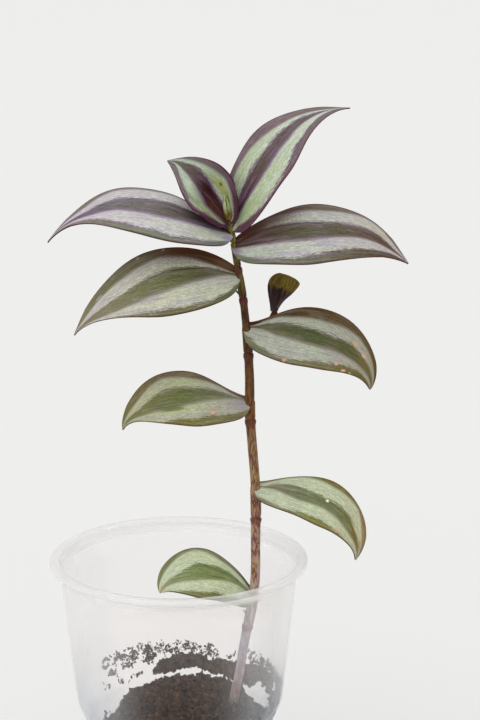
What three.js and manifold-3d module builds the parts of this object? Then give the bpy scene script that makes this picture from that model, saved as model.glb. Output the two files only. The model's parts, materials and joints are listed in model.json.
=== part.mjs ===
// A tradescantia cutting in a clear drinking cup of potting soil.
// Millimetres, +Z up. The origin is the centre of the cup's base. The stem's leaves stand in two
// ranks, to +X and to -X, and -Y is the front, where their upper faces look.
import * as THREE from "three";
import { mergeVertices } from "three/addons/utils/BufferGeometryUtils.js";
import Module from "manifold-3d";

const wasm = await Module();
wasm.setup();

// ---- Driving dimensions -------------------------------------------------------------------

const SEAT_GAP = 0.3; // clearance between pieces that touch

const CUP = {
  height: 130.8,
  rimRadius: 47.5,
  rimDepth: 2.6, // height of the rolled rim
  lipRadius: 44.4, // outside of the short straight lip under the rim
  lipDepth: 4.2, // from the top down to the start of the taper
  taperRadius: 43.8, // outside of the wall where the taper starts
  shoulderTop: 78, // height where the wall starts to turn in
  shoulderTopRadius: 38.6,
  shoulderFoot: 66.5, // height where the narrower body starts
  shoulderFootRadius: 35.1,
  baseRadius: 31,
  baseEdge: 1.6, // rounding where the wall meets the base
  wall: 0.8,
  sides: 48,
};

const SOIL = {
  level: 68.7, // height of the surface at the wall
  mound: 4.2, // how far the middle stands above that
  slump: 4.5, // how far the surface slopes down at the left
  cliff: 6.8, // how far it then breaks off, where it has come away from the wall
  rightSlump: 4.1,
  clod: 0.8, // height of the lumps
  clodSpacing: 3.4,
  rings: 12,
};

// Soil that clings to the shoulder of the cup, from the right round the back. Angles are in
// degrees, 0 at the right and 90 at the back.
const CRUST = {
  from: -50,
  to: 116,
  foot: 69.8,
  top: 77.2,
  thickness: 1.5,
  steps: 44,
};

const STEM = {
  radius: 1.72,
  taperFrom: 195, // height from which it thins towards the growing end
  tipRadius: 0.95,
  nodeSwell: 1.22, // how much wider the ring under each sheath is
  nodeHeight: 2.6,
  spacing: 7, // between the rings of points where the stem is plain
  sides: 10,
};

// The line of the stem, from its cut end in the soil to its growing end.
const STEM_LINE = [
  [13.6, 2, 38],
  [19.1, 0, 69],
  [22.1, -1, 84],
  [24.4, -2, 99],
  [27, -3, 113],
  [28.1, -4, 124],
  [28.2, -4.4, 138],
  [28.3, -4.6, 150],
  [28, -4.8, 161],
  [27, -5, 174],
  [26.1, -5, 186],
  [25.9, -4.8, 200],
  [25.1, -4.4, 214],
  [23.4, -4, 230],
  [21.2, -3.5, 243],
  [19.8, -3.2, 251],
  [18.8, -3, 256.6],
];

// Roots near the cut end: the height where each leaves the stem, its heading in plan and its
// length.
const ROOTS = [
  { height: 42, heading: 20, length: 13 },
  { height: 43, heading: 140, length: 26 },
  { height: 47, heading: 255, length: 20 },
  { height: 50, heading: 80, length: 17 },
  { height: 53, heading: 320, length: 15 },
];
const ROOT = { radius: 0.65, tipRadius: 0.25, fall: 0.7, sides: 6, steps: 5 };

// Root buds that never reached the soil, above two of the nodes.
const BUDS = [
  { height: 108.5, heading: 175, length: 2.6 },
  { height: 229.6, heading: 180, length: 2.4 },
];
const BUD = { radius: 0.6, tipRadius: 0.2, rise: 0.75, start: 0.8 };

// The side shoot breaks out through the sheath of the fourth leaf and passes behind its blade.
const SHOOT_LINE = [
  [25.2, -4.3, 210.5],
  [27.2, -1.6, 212],
  [30.6, 2.4, 215],
  [33.8, 5.6, 218.8],
  [35.8, 7.2, 222.6],
];
const SHOOT = { radius: 0.6, sides: 8, steps: 8 };

// The newest leaf of the main stem, still rolled into a spear.
const SPEAR_LINE = [
  [18.7, -3.4, 257],
  [18.3, -4.1, 259.5],
  [17.7, -4.6, 263],
  [17, -4.8, 267],
];
const SPEAR = { radius: 1.8, belly: 0.7, flatness: 0.75, sides: 10, steps: 8 };

const SHEATH = {
  wall: 0.4,
  proud: 1.16, // its outside against the plain stem's
  flare: 0.12, // how much wider the mouth is than the foot
  mouth: 0.8, // how far the mouth stands above the root of the blade
  sides: 12,
};

const BLADE = {
  thickness: 0.7,
  rootHalfWidth: 2.3,
  lobe: 1, // how far the near half reaches back past the root, round the stem
  lobeWidth: 1.2, // how much wider it makes that half's root, for each millimetre of it
  tipHalfWidth: 0.2,
  nearSwell: 0.45, // the near half is wide at once, and the far half fills out more slowly
  farSwell: 1.3,
  farDelay: 0.1, // how much nearer the tip the far half is widest
  farTaper: 1.35, // how much faster the far half then narrows
  foldKept: 0.35, // the share of the root's gutter that reaches the tip
  rows: 18,
  columns: 6,
};

// Each leaf: the height of its node and of the blade's root on the stem, the blade's length and
// width, and how it is carried. azimuth is the way it heads in plan, rise how steeply it starts,
// droop how far it has turned down at the tip and hook how much more the very tip does, all in
// degrees; late makes the bend come nearer the tip; lean turns its upper face to the front; fold
// is the gutter at the root, and arch how far the halves bow down; behind is how far past the
// stem's axis the blade starts. oblique is how unlike the two halves are.
const LEAVES = [
  {
    name: "leaf_1", node: 105, root: 115.5, length: 41.5, width: 21.5, behind: 0.5,
    azimuth: 184, rise: 57, droop: 91, late: 0.9, hook: 60,
    lean: 38, fold: 10, arch: 0.15, widest: 0.47, taper: 0.7, oblique: 1.4,
  },
  {
    name: "leaf_2", node: 147.5, root: 158.6, length: 52, width: 20, behind: -0.5,
    azimuth: -6, rise: -2, droop: 94, late: 1.8, hook: 20,
    lean: 38, fold: 10, arch: 0.15, widest: 0.45, taper: 0.85, oblique: 0.9, lobe: 0.6,
  },
  {
    name: "leaf_3", node: 184.5, root: 190.5, length: 50.7, width: 24, behind: -0.3,
    azimuth: 186, rise: 17, droop: 54, late: 1.25, hook: 55,
    lean: 42, fold: 10, arch: 0.25, widest: 0.39, taper: 1, oblique: 1.5, lobe: 0.7,
  },
  {
    name: "leaf_4", node: 209, root: 217.8, length: 54.5, width: 24.6, behind: -0.2,
    azimuth: -6, rise: -2, droop: 70, late: 2.2, hook: 35,
    lean: 48, fold: 10, arch: 0.2, widest: 0.37, taper: 0.8, oblique: 1.05,
  },
  {
    name: "leaf_5", node: 229, root: 236.5, length: 65.2, width: 27.5, behind: -0.3,
    azimuth: 186, rise: 9, droop: 56, late: 1.1, hook: 15,
    lean: 48, fold: 10, arch: 0.3, widest: 0.36, taper: 1.3, oblique: 0.48, lobe: 0.55,
  },
  {
    name: "leaf_6", node: 240, root: 247.3, length: 65, width: 25.5, behind: 0,
    azimuth: -6, rise: 19, droop: 62, late: 1.6, hook: 0,
    lean: 44, fold: 10, arch: 0.3, widest: 0.42, taper: 1.1, oblique: 0.48,
  },
  {
    name: "leaf_7", node: 248.6, root: 251.4, length: 70, width: 25.5, behind: -0.5,
    azimuth: 186, rise: 24, droop: 78, late: 2, hook: 0,
    lean: 32, fold: 10, arch: 0.3, widest: 0.38, taper: 1.7, oblique: 0.9, lobe: 0.8,
  },
  {
    name: "leaf_8", node: 252.4, root: 253.4, length: 63.5, width: 22, behind: 0,
    azimuth: 6, rise: 69, droop: 70, late: 1.9, hook: 0,
    lean: 45, fold: 10, arch: 0.2, widest: 0.43, taper: 1.7, oblique: 0.2, lobe: 0.5,
  },
  {
    name: "leaf_9", node: 254.4, root: 255.2, length: 33, width: 19, behind: 0,
    azimuth: 158, rise: 63, droop: 48, late: 1.2, hook: 0,
    lean: 66, fold: 34, arch: -0.2, widest: 0.36, taper: 1, oblique: 0.2, lobe: 0.2,
  },
];

// The side shoot's leaf, in the same terms. Its heights are shares of the shoot's line, and swell
// makes its foot slim.
const SHOOT_LEAF = {
  name: "side_shoot_leaf", node: 0.66, root: 0.9, length: 14.8, width: 11.2, behind: 0,
  azimuth: 0, rise: 72, droop: 4, late: 2, hook: 0,
  lean: -84, fold: 48, arch: -0.1, widest: 0.7, taper: 0.34, oblique: 1.6, swell: 0.85,
  lobe: 0,
};

// ---- Small tools --------------------------------------------------------------------------

const { degToRad, lerp, smoothstep } = THREE.MathUtils;
const curveThrough = (points) =>
  new THREE.CatmullRomCurve3(points.map((point) => new THREE.Vector3(...point)));

function geometryOf(vertices, triangles) {
  const geometry = new THREE.BufferGeometry();
  geometry.setAttribute("position", new THREE.Float32BufferAttribute(vertices.flat(), 3));
  geometry.setIndex(triangles.flat());
  return geometry;
}

function solidOf(geometry) {
  const bare = geometry.clone();
  bare.deleteAttribute("normal");
  bare.deleteAttribute("uv");
  const merged = mergeVertices(bare, 1e-4);
  return new wasm.Manifold(
    new wasm.Mesh({
      numProp: 3,
      vertProperties: new Float32Array(merged.attributes.position.array),
      triVerts: new Uint32Array(merged.index.array),
    }),
  );
}

function geometryFrom(solid) {
  const { vertProperties, triVerts } = solid.getMesh();
  const geometry = new THREE.BufferGeometry();
  geometry.setAttribute("position", new THREE.BufferAttribute(vertProperties, 3));
  geometry.setIndex(new THREE.BufferAttribute(triVerts, 1));
  return geometry;
}

// Cutting can leave loose scraps: only the largest body of a solid is kept.
function largestBody(solid) {
  return solid.decompose().sort((a, b) => b.volume() - a.volume())[0];
}

// The triangles of a skin that joins rings of points, each ring going round in the same sense.
function ringSkin(rings, sides) {
  const triangles = [];
  for (let ring = 0; ring < rings - 1; ring++) {
    for (let side = 0; side < sides; side++) {
      const a = ring * sides + side;
      const b = ring * sides + ((side + 1) % sides);
      triangles.push([a, b, b + sides], [a, b + sides, a + sides]);
    }
  }
  return triangles;
}

// A closed tube along a curve, through stations of { share, radius }. flatness squeezes it.
function tubeGeometry(curve, stations, sides, flatness = 1) {
  const vertices = [];
  const back = new THREE.Vector3(0, 1, 0);
  for (const { share, radius } of stations) {
    const centre = curve.getPointAt(share);
    const along = curve.getTangentAt(share);
    const right = new THREE.Vector3().crossVectors(back, along).normalize();
    const front = new THREE.Vector3().crossVectors(along, right);
    for (let side = 0; side < sides; side++) {
      const turn = (2 * Math.PI * side) / sides;
      const point = centre.clone();
      point.addScaledVector(right, radius * Math.cos(turn));
      point.addScaledVector(front, radius * flatness * Math.sin(turn));
      vertices.push(point.toArray());
    }
  }
  const triangles = ringSkin(stations.length, sides);
  const last = (stations.length - 1) * sides;
  for (let side = 1; side < sides - 1; side++) {
    triangles.push([0, side + 1, side], [last, last + side, last + side + 1]);
  }
  return geometryOf(vertices, triangles);
}

// Stations spread evenly over a curve, with the radius from the share along it.
function evenStations(steps, radiusAt) {
  return Array.from({ length: steps + 1 }, (_, step) => ({
    share: step / steps,
    radius: radiusAt(step / steps),
  }));
}

// The share of an upright curve's length at which it passes a height.
function shareAtHeight(curve, height) {
  let low = 0;
  let high = 1;
  for (let pass = 0; pass < 30; pass++) {
    const middle = (low + high) / 2;
    if (curve.getPointAt(middle).z < height) low = middle;
    else high = middle;
  }
  return low;
}

// Lumps of soil, from the position alone.
function clod(x, y) {
  const scale = SOIL.clodSpacing;
  const broad = Math.sin(x / scale + 1.7) * Math.cos(y / scale - 0.4);
  const middling = Math.sin((x - y) / (scale * 0.61) + 0.9);
  const fine = Math.cos((x + 1.3 * y) / (scale * 0.37) - 2.2);
  return (broad + 0.6 * middling + 0.4 * fine) / 2;
}

// ---- Cup ----------------------------------------------------------------------------------

// The outside of the wall under the lip, at a height.
function cupRadius(height) {
  if (height >= CUP.shoulderTop) {
    const share = (height - CUP.shoulderTop) / (CUP.height - CUP.lipDepth - CUP.shoulderTop);
    return lerp(CUP.shoulderTopRadius, CUP.taperRadius, share);
  }
  if (height >= CUP.shoulderFoot) {
    const share = smoothstep(height, CUP.shoulderFoot, CUP.shoulderTop);
    return lerp(CUP.shoulderFootRadius, CUP.shoulderTopRadius, share);
  }
  return lerp(CUP.baseRadius, CUP.shoulderFootRadius, height / CUP.shoulderFoot);
}

function wallProfile(inset) {
  const heights = [CUP.baseEdge + inset];
  const shoulderSteps = 5;
  for (let step = 0; step <= shoulderSteps; step++) {
    heights.push(lerp(CUP.shoulderFoot, CUP.shoulderTop, step / shoulderSteps));
  }
  heights.push(CUP.height - CUP.lipDepth);
  return heights.map((height) => new THREE.Vector2(cupRadius(height) - inset, height));
}

function cupGeometry() {
  const rollRadius = (CUP.rimRadius - CUP.lipRadius) / 2;
  const roll = [];
  const rollSteps = 5;
  for (let step = 0; step <= rollSteps; step++) {
    const turn = lerp(-Math.PI / 2, Math.PI / 2, step / rollSteps);
    const out = CUP.rimRadius - rollRadius + rollRadius * Math.cos(turn);
    roll.push(new THREE.Vector2(out, CUP.height + (CUP.rimDepth / 2) * (Math.sin(turn) - 1)));
  }
  const lipFoot = CUP.height - CUP.lipDepth + 0.4;
  const profile = [
    new THREE.Vector2(0, 0),
    new THREE.Vector2(CUP.baseRadius - CUP.baseEdge, 0),
    ...wallProfile(0),
    new THREE.Vector2(CUP.lipRadius, lipFoot),
    new THREE.Vector2(CUP.lipRadius, CUP.height - CUP.rimDepth),
    ...roll,
    new THREE.Vector2(CUP.lipRadius - CUP.wall, CUP.height - CUP.wall),
    new THREE.Vector2(CUP.lipRadius - CUP.wall, lipFoot),
    ...wallProfile(CUP.wall).reverse(),
    new THREE.Vector2(CUP.baseRadius - CUP.baseEdge - CUP.wall, CUP.wall),
    new THREE.Vector2(0, CUP.wall),
  ];
  return new THREE.LatheGeometry(profile, CUP.sides).rotateX(Math.PI / 2);
}

// ---- Soil ---------------------------------------------------------------------------------

// The inside of the cup's wall, less the clearance.
const roomRadius = (height) => cupRadius(height) - CUP.wall - SEAT_GAP;

function soilHeight(x, y) {
  const reach = Math.min(1, Math.hypot(x, y) / CUP.shoulderFootRadius);
  const mound = SOIL.mound * (1 - reach ** 2);
  const slope = SOIL.slump * smoothstep(-x - 0.06 * y, -5.5, 27.7);
  const broken = SOIL.cliff * smoothstep(-x + 0.1 * y, 21, 29.3);
  const right = SOIL.rightSlump * smoothstep(x - 0.07 * y, 21, 25);
  return SOIL.level + mound - slope - broken - right + SOIL.clod * clod(x, y);
}

// A body that fills the lower cup. Its top is rings of the surface that close on the middle.
function soilGeometry() {
  const { sides } = CUP;
  const vertices = [];
  const pushRing = (radius, heightAt) => {
    for (let side = 0; side < sides; side++) {
      const turn = (2 * Math.PI * side) / sides;
      const x = radius * Math.cos(turn);
      const y = radius * Math.sin(turn);
      vertices.push([x, y, heightAt(x, y)]);
    }
  };
  const floor = CUP.wall + SEAT_GAP;
  const edge = CUP.baseEdge + CUP.wall + SEAT_GAP;
  pushRing(roomRadius(0) - CUP.baseEdge, () => floor);
  pushRing(roomRadius(edge), () => edge);
  for (let ring = 0; ring < SOIL.rings; ring++) {
    const radius = roomRadius(SOIL.level - SOIL.slump - SOIL.cliff) * (1 - ring / SOIL.rings);
    pushRing(radius, soilHeight);
  }
  const rings = vertices.length / sides;
  const triangles = ringSkin(rings, sides);
  const bottom = vertices.push([0, 0, floor]) - 1;
  const top = vertices.push([0, 0, soilHeight(0, 0)]) - 1;
  const last = (rings - 1) * sides;
  for (let side = 0; side < sides; side++) {
    const next = (side + 1) % sides;
    triangles.push([bottom, next, side], [top, last + side, last + next]);
  }
  return geometryOf(vertices, triangles);
}

// A lumpy strip against the shoulder: each section goes up the wall and back down the inside.
function crustGeometry() {
  const { from, to, foot, top, thickness, steps } = CRUST;
  const shares = [0, 0.5, 1];
  const vertices = [];
  for (let step = 0; step <= steps; step++) {
    const turn = degToRad(lerp(from, to, step / steps));
    const fade = Math.min(1, 6 * (step / steps + 0.03), 6 * (1 - step / steps + 0.03));
    const spread = 0.75 + 0.25 * Math.sin(5.3 * turn + 0.6) * Math.cos(2.1 * turn);
    const reach = (top - foot) * spread * (0.5 + 0.5 * fade);
    const middle = (top + foot) / 2 + 0.7 * Math.sin(3.1 * turn + 1);
    const put = (height, inset) => {
      const radius = roomRadius(height) - inset;
      vertices.push([radius * Math.cos(turn), radius * Math.sin(turn), height]);
    };
    const heightOf = (share) => middle + (share - 0.5) * reach;
    const lump = 1 + 0.35 * Math.sin(9 * turn) + 0.2 * Math.sin(23 * turn + 1);
    for (const share of shares) put(heightOf(share), 0);
    put(heightOf(0.85), thickness * lump * fade * 0.7);
    put(heightOf(0.45), thickness * lump * fade);
    put(heightOf(0.1), thickness * lump * fade * 0.8);
  }
  const sides = vertices.length / (steps + 1);
  const triangles = ringSkin(steps + 1, sides).map(([a, b, c]) => [a, c, b]);
  const last = steps * sides;
  for (let side = 1; side < sides - 1; side++) {
    triangles.push([0, side, side + 1], [last, last + side + 1, last + side]);
  }
  return geometryOf(vertices, triangles);
}

// ---- Stem ---------------------------------------------------------------------------------

// The main stem's plain radius, the outside of the sheaths round it and what they leave it.
function stemRadius(height) {
  const top = STEM_LINE.at(-1)[2];
  const share = Math.max(0, (height - STEM.taperFrom) / (top - STEM.taperFrom));
  return lerp(STEM.radius, STEM.tipRadius, share);
}
const sheathRadius = (height) => SHEATH.proud * stemRadius(height);
const sheathedRadius = (height) => sheathRadius(height) - SHEATH.wall - SEAT_GAP;

const stemCurve = curveThrough(STEM_LINE);
const shootCurve = curveThrough(SHOOT_LINE);

// Stations of the main stem: a ring under each sheath, a slimmer stretch inside it, and plain
// stretches between.
function stemStations() {
  const bottom = STEM_LINE[0][2];
  const top = STEM_LINE.at(-1)[2];
  const marks = [
    { height: bottom, radius: STEM.radius },
    { height: top, radius: sheathedRadius(top) * 0.9 },
  ];
  let free = bottom;
  for (const { node, root } of LEAVES) {
    const mouth = root + SHEATH.mouth;
    const gap = node - STEM.nodeHeight - free;
    const mark = (height, radius) => marks.push({ height, radius });
    for (let step = 1; step < gap / STEM.spacing; step++) {
      const height = free + step * STEM.spacing;
      mark(height, stemRadius(height));
    }
    if (gap > 0) {
      const ring = STEM.nodeSwell * stemRadius(node);
      mark(node - STEM.nodeHeight, stemRadius(node));
      mark(node - 0.7 * STEM.nodeHeight, ring);
      mark(node - 0.2 * STEM.nodeHeight, ring);
    }
    mark(node + 0.1, sheathedRadius(node));
    mark(mouth, sheathedRadius(mouth));
    free = mouth;
  }
  return marks
    .sort((a, b) => a.height - b.height)
    .map(({ height, radius }) => ({ share: shareAtHeight(stemCurve, height), radius }));
}

// A thin strand that leaves the stem sideways: a root falls, and a bud rises.
function strandGeometry({ height, heading, length }, slope, size, grown) {
  const start = stemCurve.getPointAt(shareAtHeight(stemCurve, height));
  const turn = degToRad(heading);
  const way = new THREE.Vector3(Math.cos(turn), Math.sin(turn), 0);
  const bend = new THREE.Vector3(-Math.sin(turn), Math.cos(turn), 0);
  const points = [0, 0.3, 0.65, 1].map((share) =>
    start
      .clone()
      .addScaledVector(way, length * share)
      .addScaledVector(bend, 0.12 * length * Math.sin(4 * share) * Math.cos(height))
      .setZ(start.z + slope * length * share ** 1.3),
  );
  const curve = new THREE.CatmullRomCurve3(points);
  const radiusAt = (share) => lerp(size.radius, size.tipRadius, share) + grown;
  return tubeGeometry(curve, evenStations(ROOT.steps, radiusAt), ROOT.sides);
}

// The whole stem as one solid: main stem, side shoot, roots and buds. grown makes it larger all
// round, to cut the room it takes in its neighbours.
function stemSolid(grown) {
  const main = stemStations().map(({ share, radius }) => ({ share, radius: radius + grown }));
  const shoot = evenStations(SHOOT.steps, () => SHOOT.radius + grown);
  const parts = [
    tubeGeometry(stemCurve, main, STEM.sides),
    tubeGeometry(shootCurve, shoot, SHOOT.sides),
    ...ROOTS.map((root) => strandGeometry(root, -ROOT.fall, ROOT, grown)),
    ...BUDS.map((bud) => strandGeometry(bud, BUD.rise, BUD, grown)),
  ];
  return parts.map(solidOf).reduce((whole, piece) => whole.add(piece));
}

// ---- Leaves -------------------------------------------------------------------------------

const mainShare = (height) => shareAtHeight(stemCurve, height);
const shootShare = (share) => share;
const shootSheathRadius = () => SHOOT.radius + SEAT_GAP + SHEATH.wall;

// Frames along the midrib: the point, the way to the far margin, the way the face looks and the
// way the midrib runs.
function midribFrames(leaf, curve, shareOf) {
  const side = Math.sign(Math.cos(degToRad(leaf.azimuth)));
  const turn = degToRad(leaf.azimuth);
  const lean = degToRad(leaf.lean);
  const headingAt = (along) => {
    const bend = leaf.droop * along ** leaf.late + leaf.hook * along ** 10;
    const pitch = degToRad(leaf.rise - bend);
    const level = Math.cos(pitch);
    return new THREE.Vector3(level * Math.cos(turn), level * Math.sin(turn), Math.sin(pitch));
  };
  const back = new THREE.Vector3(-Math.sin(turn), Math.cos(turn), 0).multiplyScalar(side);
  const point = curve.getPointAt(shareOf(leaf.root)).addScaledVector(headingAt(0), -leaf.behind);
  const frames = [];
  for (let row = 0; row <= BLADE.rows; row++) {
    const along = row / BLADE.rows;
    const up = new THREE.Vector3().crossVectors(headingAt(along), back).multiplyScalar(side);
    const far = back.clone().multiplyScalar(Math.cos(lean)).addScaledVector(up, Math.sin(lean));
    up.multiplyScalar(Math.cos(lean)).addScaledVector(back, -Math.sin(lean));
    frames.push({ along, far, up, ahead: headingAt(along), point: point.clone() });
    point.addScaledVector(headingAt(along + 0.5 / BLADE.rows), leaf.length / BLADE.rows);
  }
  return frames;
}

function halfWidth(leaf, along, isFar) {
  const oblique = isFar ? leaf.oblique : 0;
  const widest = leaf.widest + BLADE.farDelay * oblique;
  const rootPower = lerp(leaf.swell ?? BLADE.nearSwell, BLADE.farSwell, oblique);
  const tipPower = leaf.taper * lerp(1, BLADE.farTaper, oblique);
  const swell =
    along < widest
      ? Math.sin((Math.PI / 2) * (along / widest)) ** rootPower
      : Math.cos((Math.PI / 2) * ((along - widest) / (1 - widest))) ** tipPower;
  const extra = isFar ? 0 : BLADE.lobeWidth * (leaf.lobe ?? BLADE.lobe);
  const root = (BLADE.rootHalfWidth + extra) * (1 - along) ** 6;
  return (leaf.width / 2) * swell + root + BLADE.tipHalfWidth;
}

// A point of the blade's middle surface. across runs from -1, the near margin, to 1, the far one.
function bladePoint(leaf, frame, across) {
  const { along } = frame;
  const half = halfWidth(leaf, along, across > 0);
  const fold = degToRad(leaf.fold) * (BLADE.foldKept + (1 - along) ** 2);
  const bow = leaf.arch * Math.sin(Math.PI * Math.min(1, along + 0.15)) ** 0.5;
  const out = half * across * Math.cos(fold);
  const lift = half * (Math.abs(across) * Math.sin(fold) - bow * across ** 2);
  const lobe = across < 0 ? (leaf.lobe ?? BLADE.lobe) * (1 - along) ** 10 : 0;
  return frame.point
    .clone()
    .addScaledVector(frame.far, out)
    .addScaledVector(frame.up, lift)
    .addScaledVector(frame.ahead, -lobe * Math.sin(Math.PI * Math.abs(across)));
}

// The blade is a skin with an upper and an under face, split along the same diagonals.
function bladeGeometry(leaf, curve, shareOf, grown) {
  const { rows, columns } = BLADE;
  const side = Math.sign(Math.cos(degToRad(leaf.azimuth)));
  const middle = midribFrames(leaf, curve, shareOf).map((frame) =>
    Array.from({ length: columns + 1 }, (_, column) =>
      bladePoint(leaf, frame, (2 * column) / columns - 1),
    ),
  );
  const normalAt = (row, column) => {
    const ahead = middle[Math.min(row + 1, rows)][column].clone();
    const across = middle[row][Math.min(column + 1, columns)].clone();
    ahead.sub(middle[Math.max(row - 1, 0)][column]);
    across.sub(middle[row][Math.max(column - 1, 0)]);
    return ahead.cross(across).normalize().multiplyScalar(side);
  };
  const vertices = [];
  for (const face of [1, -1]) {
    for (let row = 0; row <= rows; row++) {
      for (let column = 0; column <= columns; column++) {
        const point = middle[row][column].clone();
        point.addScaledVector(normalAt(row, column), face * (BLADE.thickness / 2 + grown));
        vertices.push(point.toArray());
      }
    }
  }
  const triangles = [];
  const add = (a, b, c) => triangles.push(side > 0 ? [a, b, c] : [a, c, b]);
  const wide = columns + 1;
  const under = (rows + 1) * wide;
  for (let row = 0; row < rows; row++) {
    for (let column = 0; column < columns; column++) {
      const a = row * wide + column;
      const b = a + 1;
      const c = a + wide;
      const d = c + 1;
      add(a, c, d);
      add(a, d, b);
      add(under + a, under + d, under + c);
      add(under + a, under + b, under + d);
    }
  }
  const edge = (a, b) => {
    add(a, b, under + b);
    add(a, under + b, under + a);
  };
  for (let row = 0; row < rows; row++) {
    edge((row + 1) * wide, row * wide);
    edge(row * wide + columns, (row + 1) * wide + columns);
  }
  for (let column = 0; column < columns; column++) {
    edge(column, column + 1);
    edge(rows * wide + column + 1, rows * wide + column);
  }
  return geometryOf(vertices, triangles);
}

function sheathGeometry(leaf, curve, shareOf, outerAt, grown) {
  const foot = shareOf(leaf.node) + SEAT_GAP / curve.getLength();
  const mouth = shareOf(leaf.root) + SHEATH.mouth / curve.getLength();
  const stations = [0, 0.5, 1].map((up) => {
    const share = lerp(foot, mouth, up);
    const height = curve.getPointAt(Math.min(1, share)).z;
    return { share, radius: outerAt(height) + SHEATH.flare * up + grown };
  });
  return tubeGeometry(curve, stations, SHEATH.sides);
}

function leafSolid(leaf, curve, shareOf, outerAt, grown) {
  const blade = solidOf(bladeGeometry(leaf, curve, shareOf, grown));
  return blade.add(solidOf(sheathGeometry(leaf, curve, shareOf, outerAt, grown)));
}

// The newest leaf stands on the end of the stem, thickest a little above its foot.
function spearGeometry(grown) {
  const radiusAt = (share) => {
    const swell = Math.sin(Math.PI * share ** SPEAR.belly);
    return SPEAR.radius * (0.55 * (1 - share) + 0.45 * swell) + 0.15 + grown;
  };
  const stations = evenStations(SPEAR.steps, radiusAt);
  return tubeGeometry(curveThrough(SPEAR_LINE), stations, SPEAR.sides, SPEAR.flatness);
}

// ---- The whole plant ----------------------------------------------------------------------

const finish = (color, roughness) =>
  new THREE.MeshStandardMaterial({ color, roughness, metalness: 0 });
const clearPlastic = new THREE.MeshStandardMaterial({
  color: 0xeef0f0, roughness: 0.15, metalness: 0, transparent: true, opacity: 0.3,
});
const pottingSoil = finish(0x3d2f28, 0.95);
const stemSkin = finish(0x7a5040, 0.45);
const leafSkin = finish(0x8f9c7c, 0.45);
const youngLeafSkin = finish(0x5c3f4c, 0.45);

const plant = new THREE.Group();
function add(name, geometry, material) {
  const mesh = new THREE.Mesh(geometry, material);
  mesh.name = name;
  plant.add(mesh);
}

add("cup", cupGeometry(), clearPlastic);
const stemRoom = stemSolid(SEAT_GAP);
add("soil", geometryFrom(solidOf(soilGeometry()).subtract(stemRoom)), pottingSoil);
add("soil_crust", crustGeometry(), pottingSoil);
add("stem", geometryFrom(stemSolid(0)), stemSkin);

// Leaves are cut from the top down, and each makes room for the stem and for those above it.
add("growing_tip", spearGeometry(0), youngLeafSkin);
let taken = stemRoom.add(solidOf(spearGeometry(SEAT_GAP)));
for (const leaf of [...LEAVES].reverse()) {
  const whole = leafSolid(leaf, stemCurve, mainShare, sheathRadius, 0);
  add(leaf.name, geometryFrom(largestBody(whole.subtract(taken))), leafSkin);
  taken = taken.add(leafSolid(leaf, stemCurve, mainShare, sheathRadius, SEAT_GAP));
}
const shootLeaf = leafSolid(SHOOT_LEAF, shootCurve, shootShare, shootSheathRadius, 0);
add("side_shoot_leaf", geometryFrom(largestBody(shootLeaf.subtract(taken))), youngLeafSkin);

export default plant;
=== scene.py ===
"""A potted tradescantia cutting: the looks of the part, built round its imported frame.

The part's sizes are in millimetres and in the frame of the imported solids: +X to the right, +Y
away from the camera, +Z up, with the origin at the centre of the cup's underside.
"""

import json
import logging
import math
import random
from bisect import bisect_right
from collections.abc import Callable, Iterable, Sequence
from dataclasses import dataclass, field
from enum import Enum

import bpy
from mathutils import Euler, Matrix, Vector, noise

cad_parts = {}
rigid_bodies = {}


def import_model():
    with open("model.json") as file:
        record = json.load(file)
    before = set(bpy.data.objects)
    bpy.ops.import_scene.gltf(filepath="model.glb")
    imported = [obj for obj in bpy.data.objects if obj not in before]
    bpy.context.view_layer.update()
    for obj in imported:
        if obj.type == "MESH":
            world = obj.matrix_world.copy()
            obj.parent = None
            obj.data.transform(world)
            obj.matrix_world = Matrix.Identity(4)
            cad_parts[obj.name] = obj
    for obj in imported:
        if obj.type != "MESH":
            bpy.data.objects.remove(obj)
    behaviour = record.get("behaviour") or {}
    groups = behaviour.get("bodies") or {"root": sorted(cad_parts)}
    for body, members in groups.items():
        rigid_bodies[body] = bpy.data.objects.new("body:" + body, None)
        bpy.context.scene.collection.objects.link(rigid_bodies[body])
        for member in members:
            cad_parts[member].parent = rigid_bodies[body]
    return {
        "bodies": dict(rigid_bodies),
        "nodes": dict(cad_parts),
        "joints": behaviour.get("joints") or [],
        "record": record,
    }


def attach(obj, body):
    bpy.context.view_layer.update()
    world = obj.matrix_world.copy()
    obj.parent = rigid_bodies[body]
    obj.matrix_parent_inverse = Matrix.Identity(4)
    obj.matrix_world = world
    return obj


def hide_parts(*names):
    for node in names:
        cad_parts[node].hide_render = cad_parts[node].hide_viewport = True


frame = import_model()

Piece = bpy.types.Object
Material = bpy.types.Material
Tree = bpy.types.NodeTree
Socket = bpy.types.NodeSocket
Place = tuple[float, float, float]
Colour = tuple[float, float, float, float]

MM = 0.001
BODY = "root"
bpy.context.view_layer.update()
REACH = (0.3, 0.7)  # where a noise's values mostly lie
SHEATH_FOOT = 0.2  # how far above its node a sheath starts
SHEATH_MOUTH = 0.8  # how far above the blade's root it ends

log = logging.getLogger("potted_tradescantia")


# ---- Numbers and lines --------------------------------------------------------------------


def lerp(low: float, high: float, share: float) -> float:
    """Returns the value a share of the way from low to high."""
    return low + (high - low) * share


def smoothstep(value: float, low: float, high: float) -> float:
    """Returns 0 below low and 1 above high, with a soft ramp between them."""
    share = min(1.0, max(0.0, (value - low) / (high - low)))
    return share * share * (3 - 2 * share)


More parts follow.
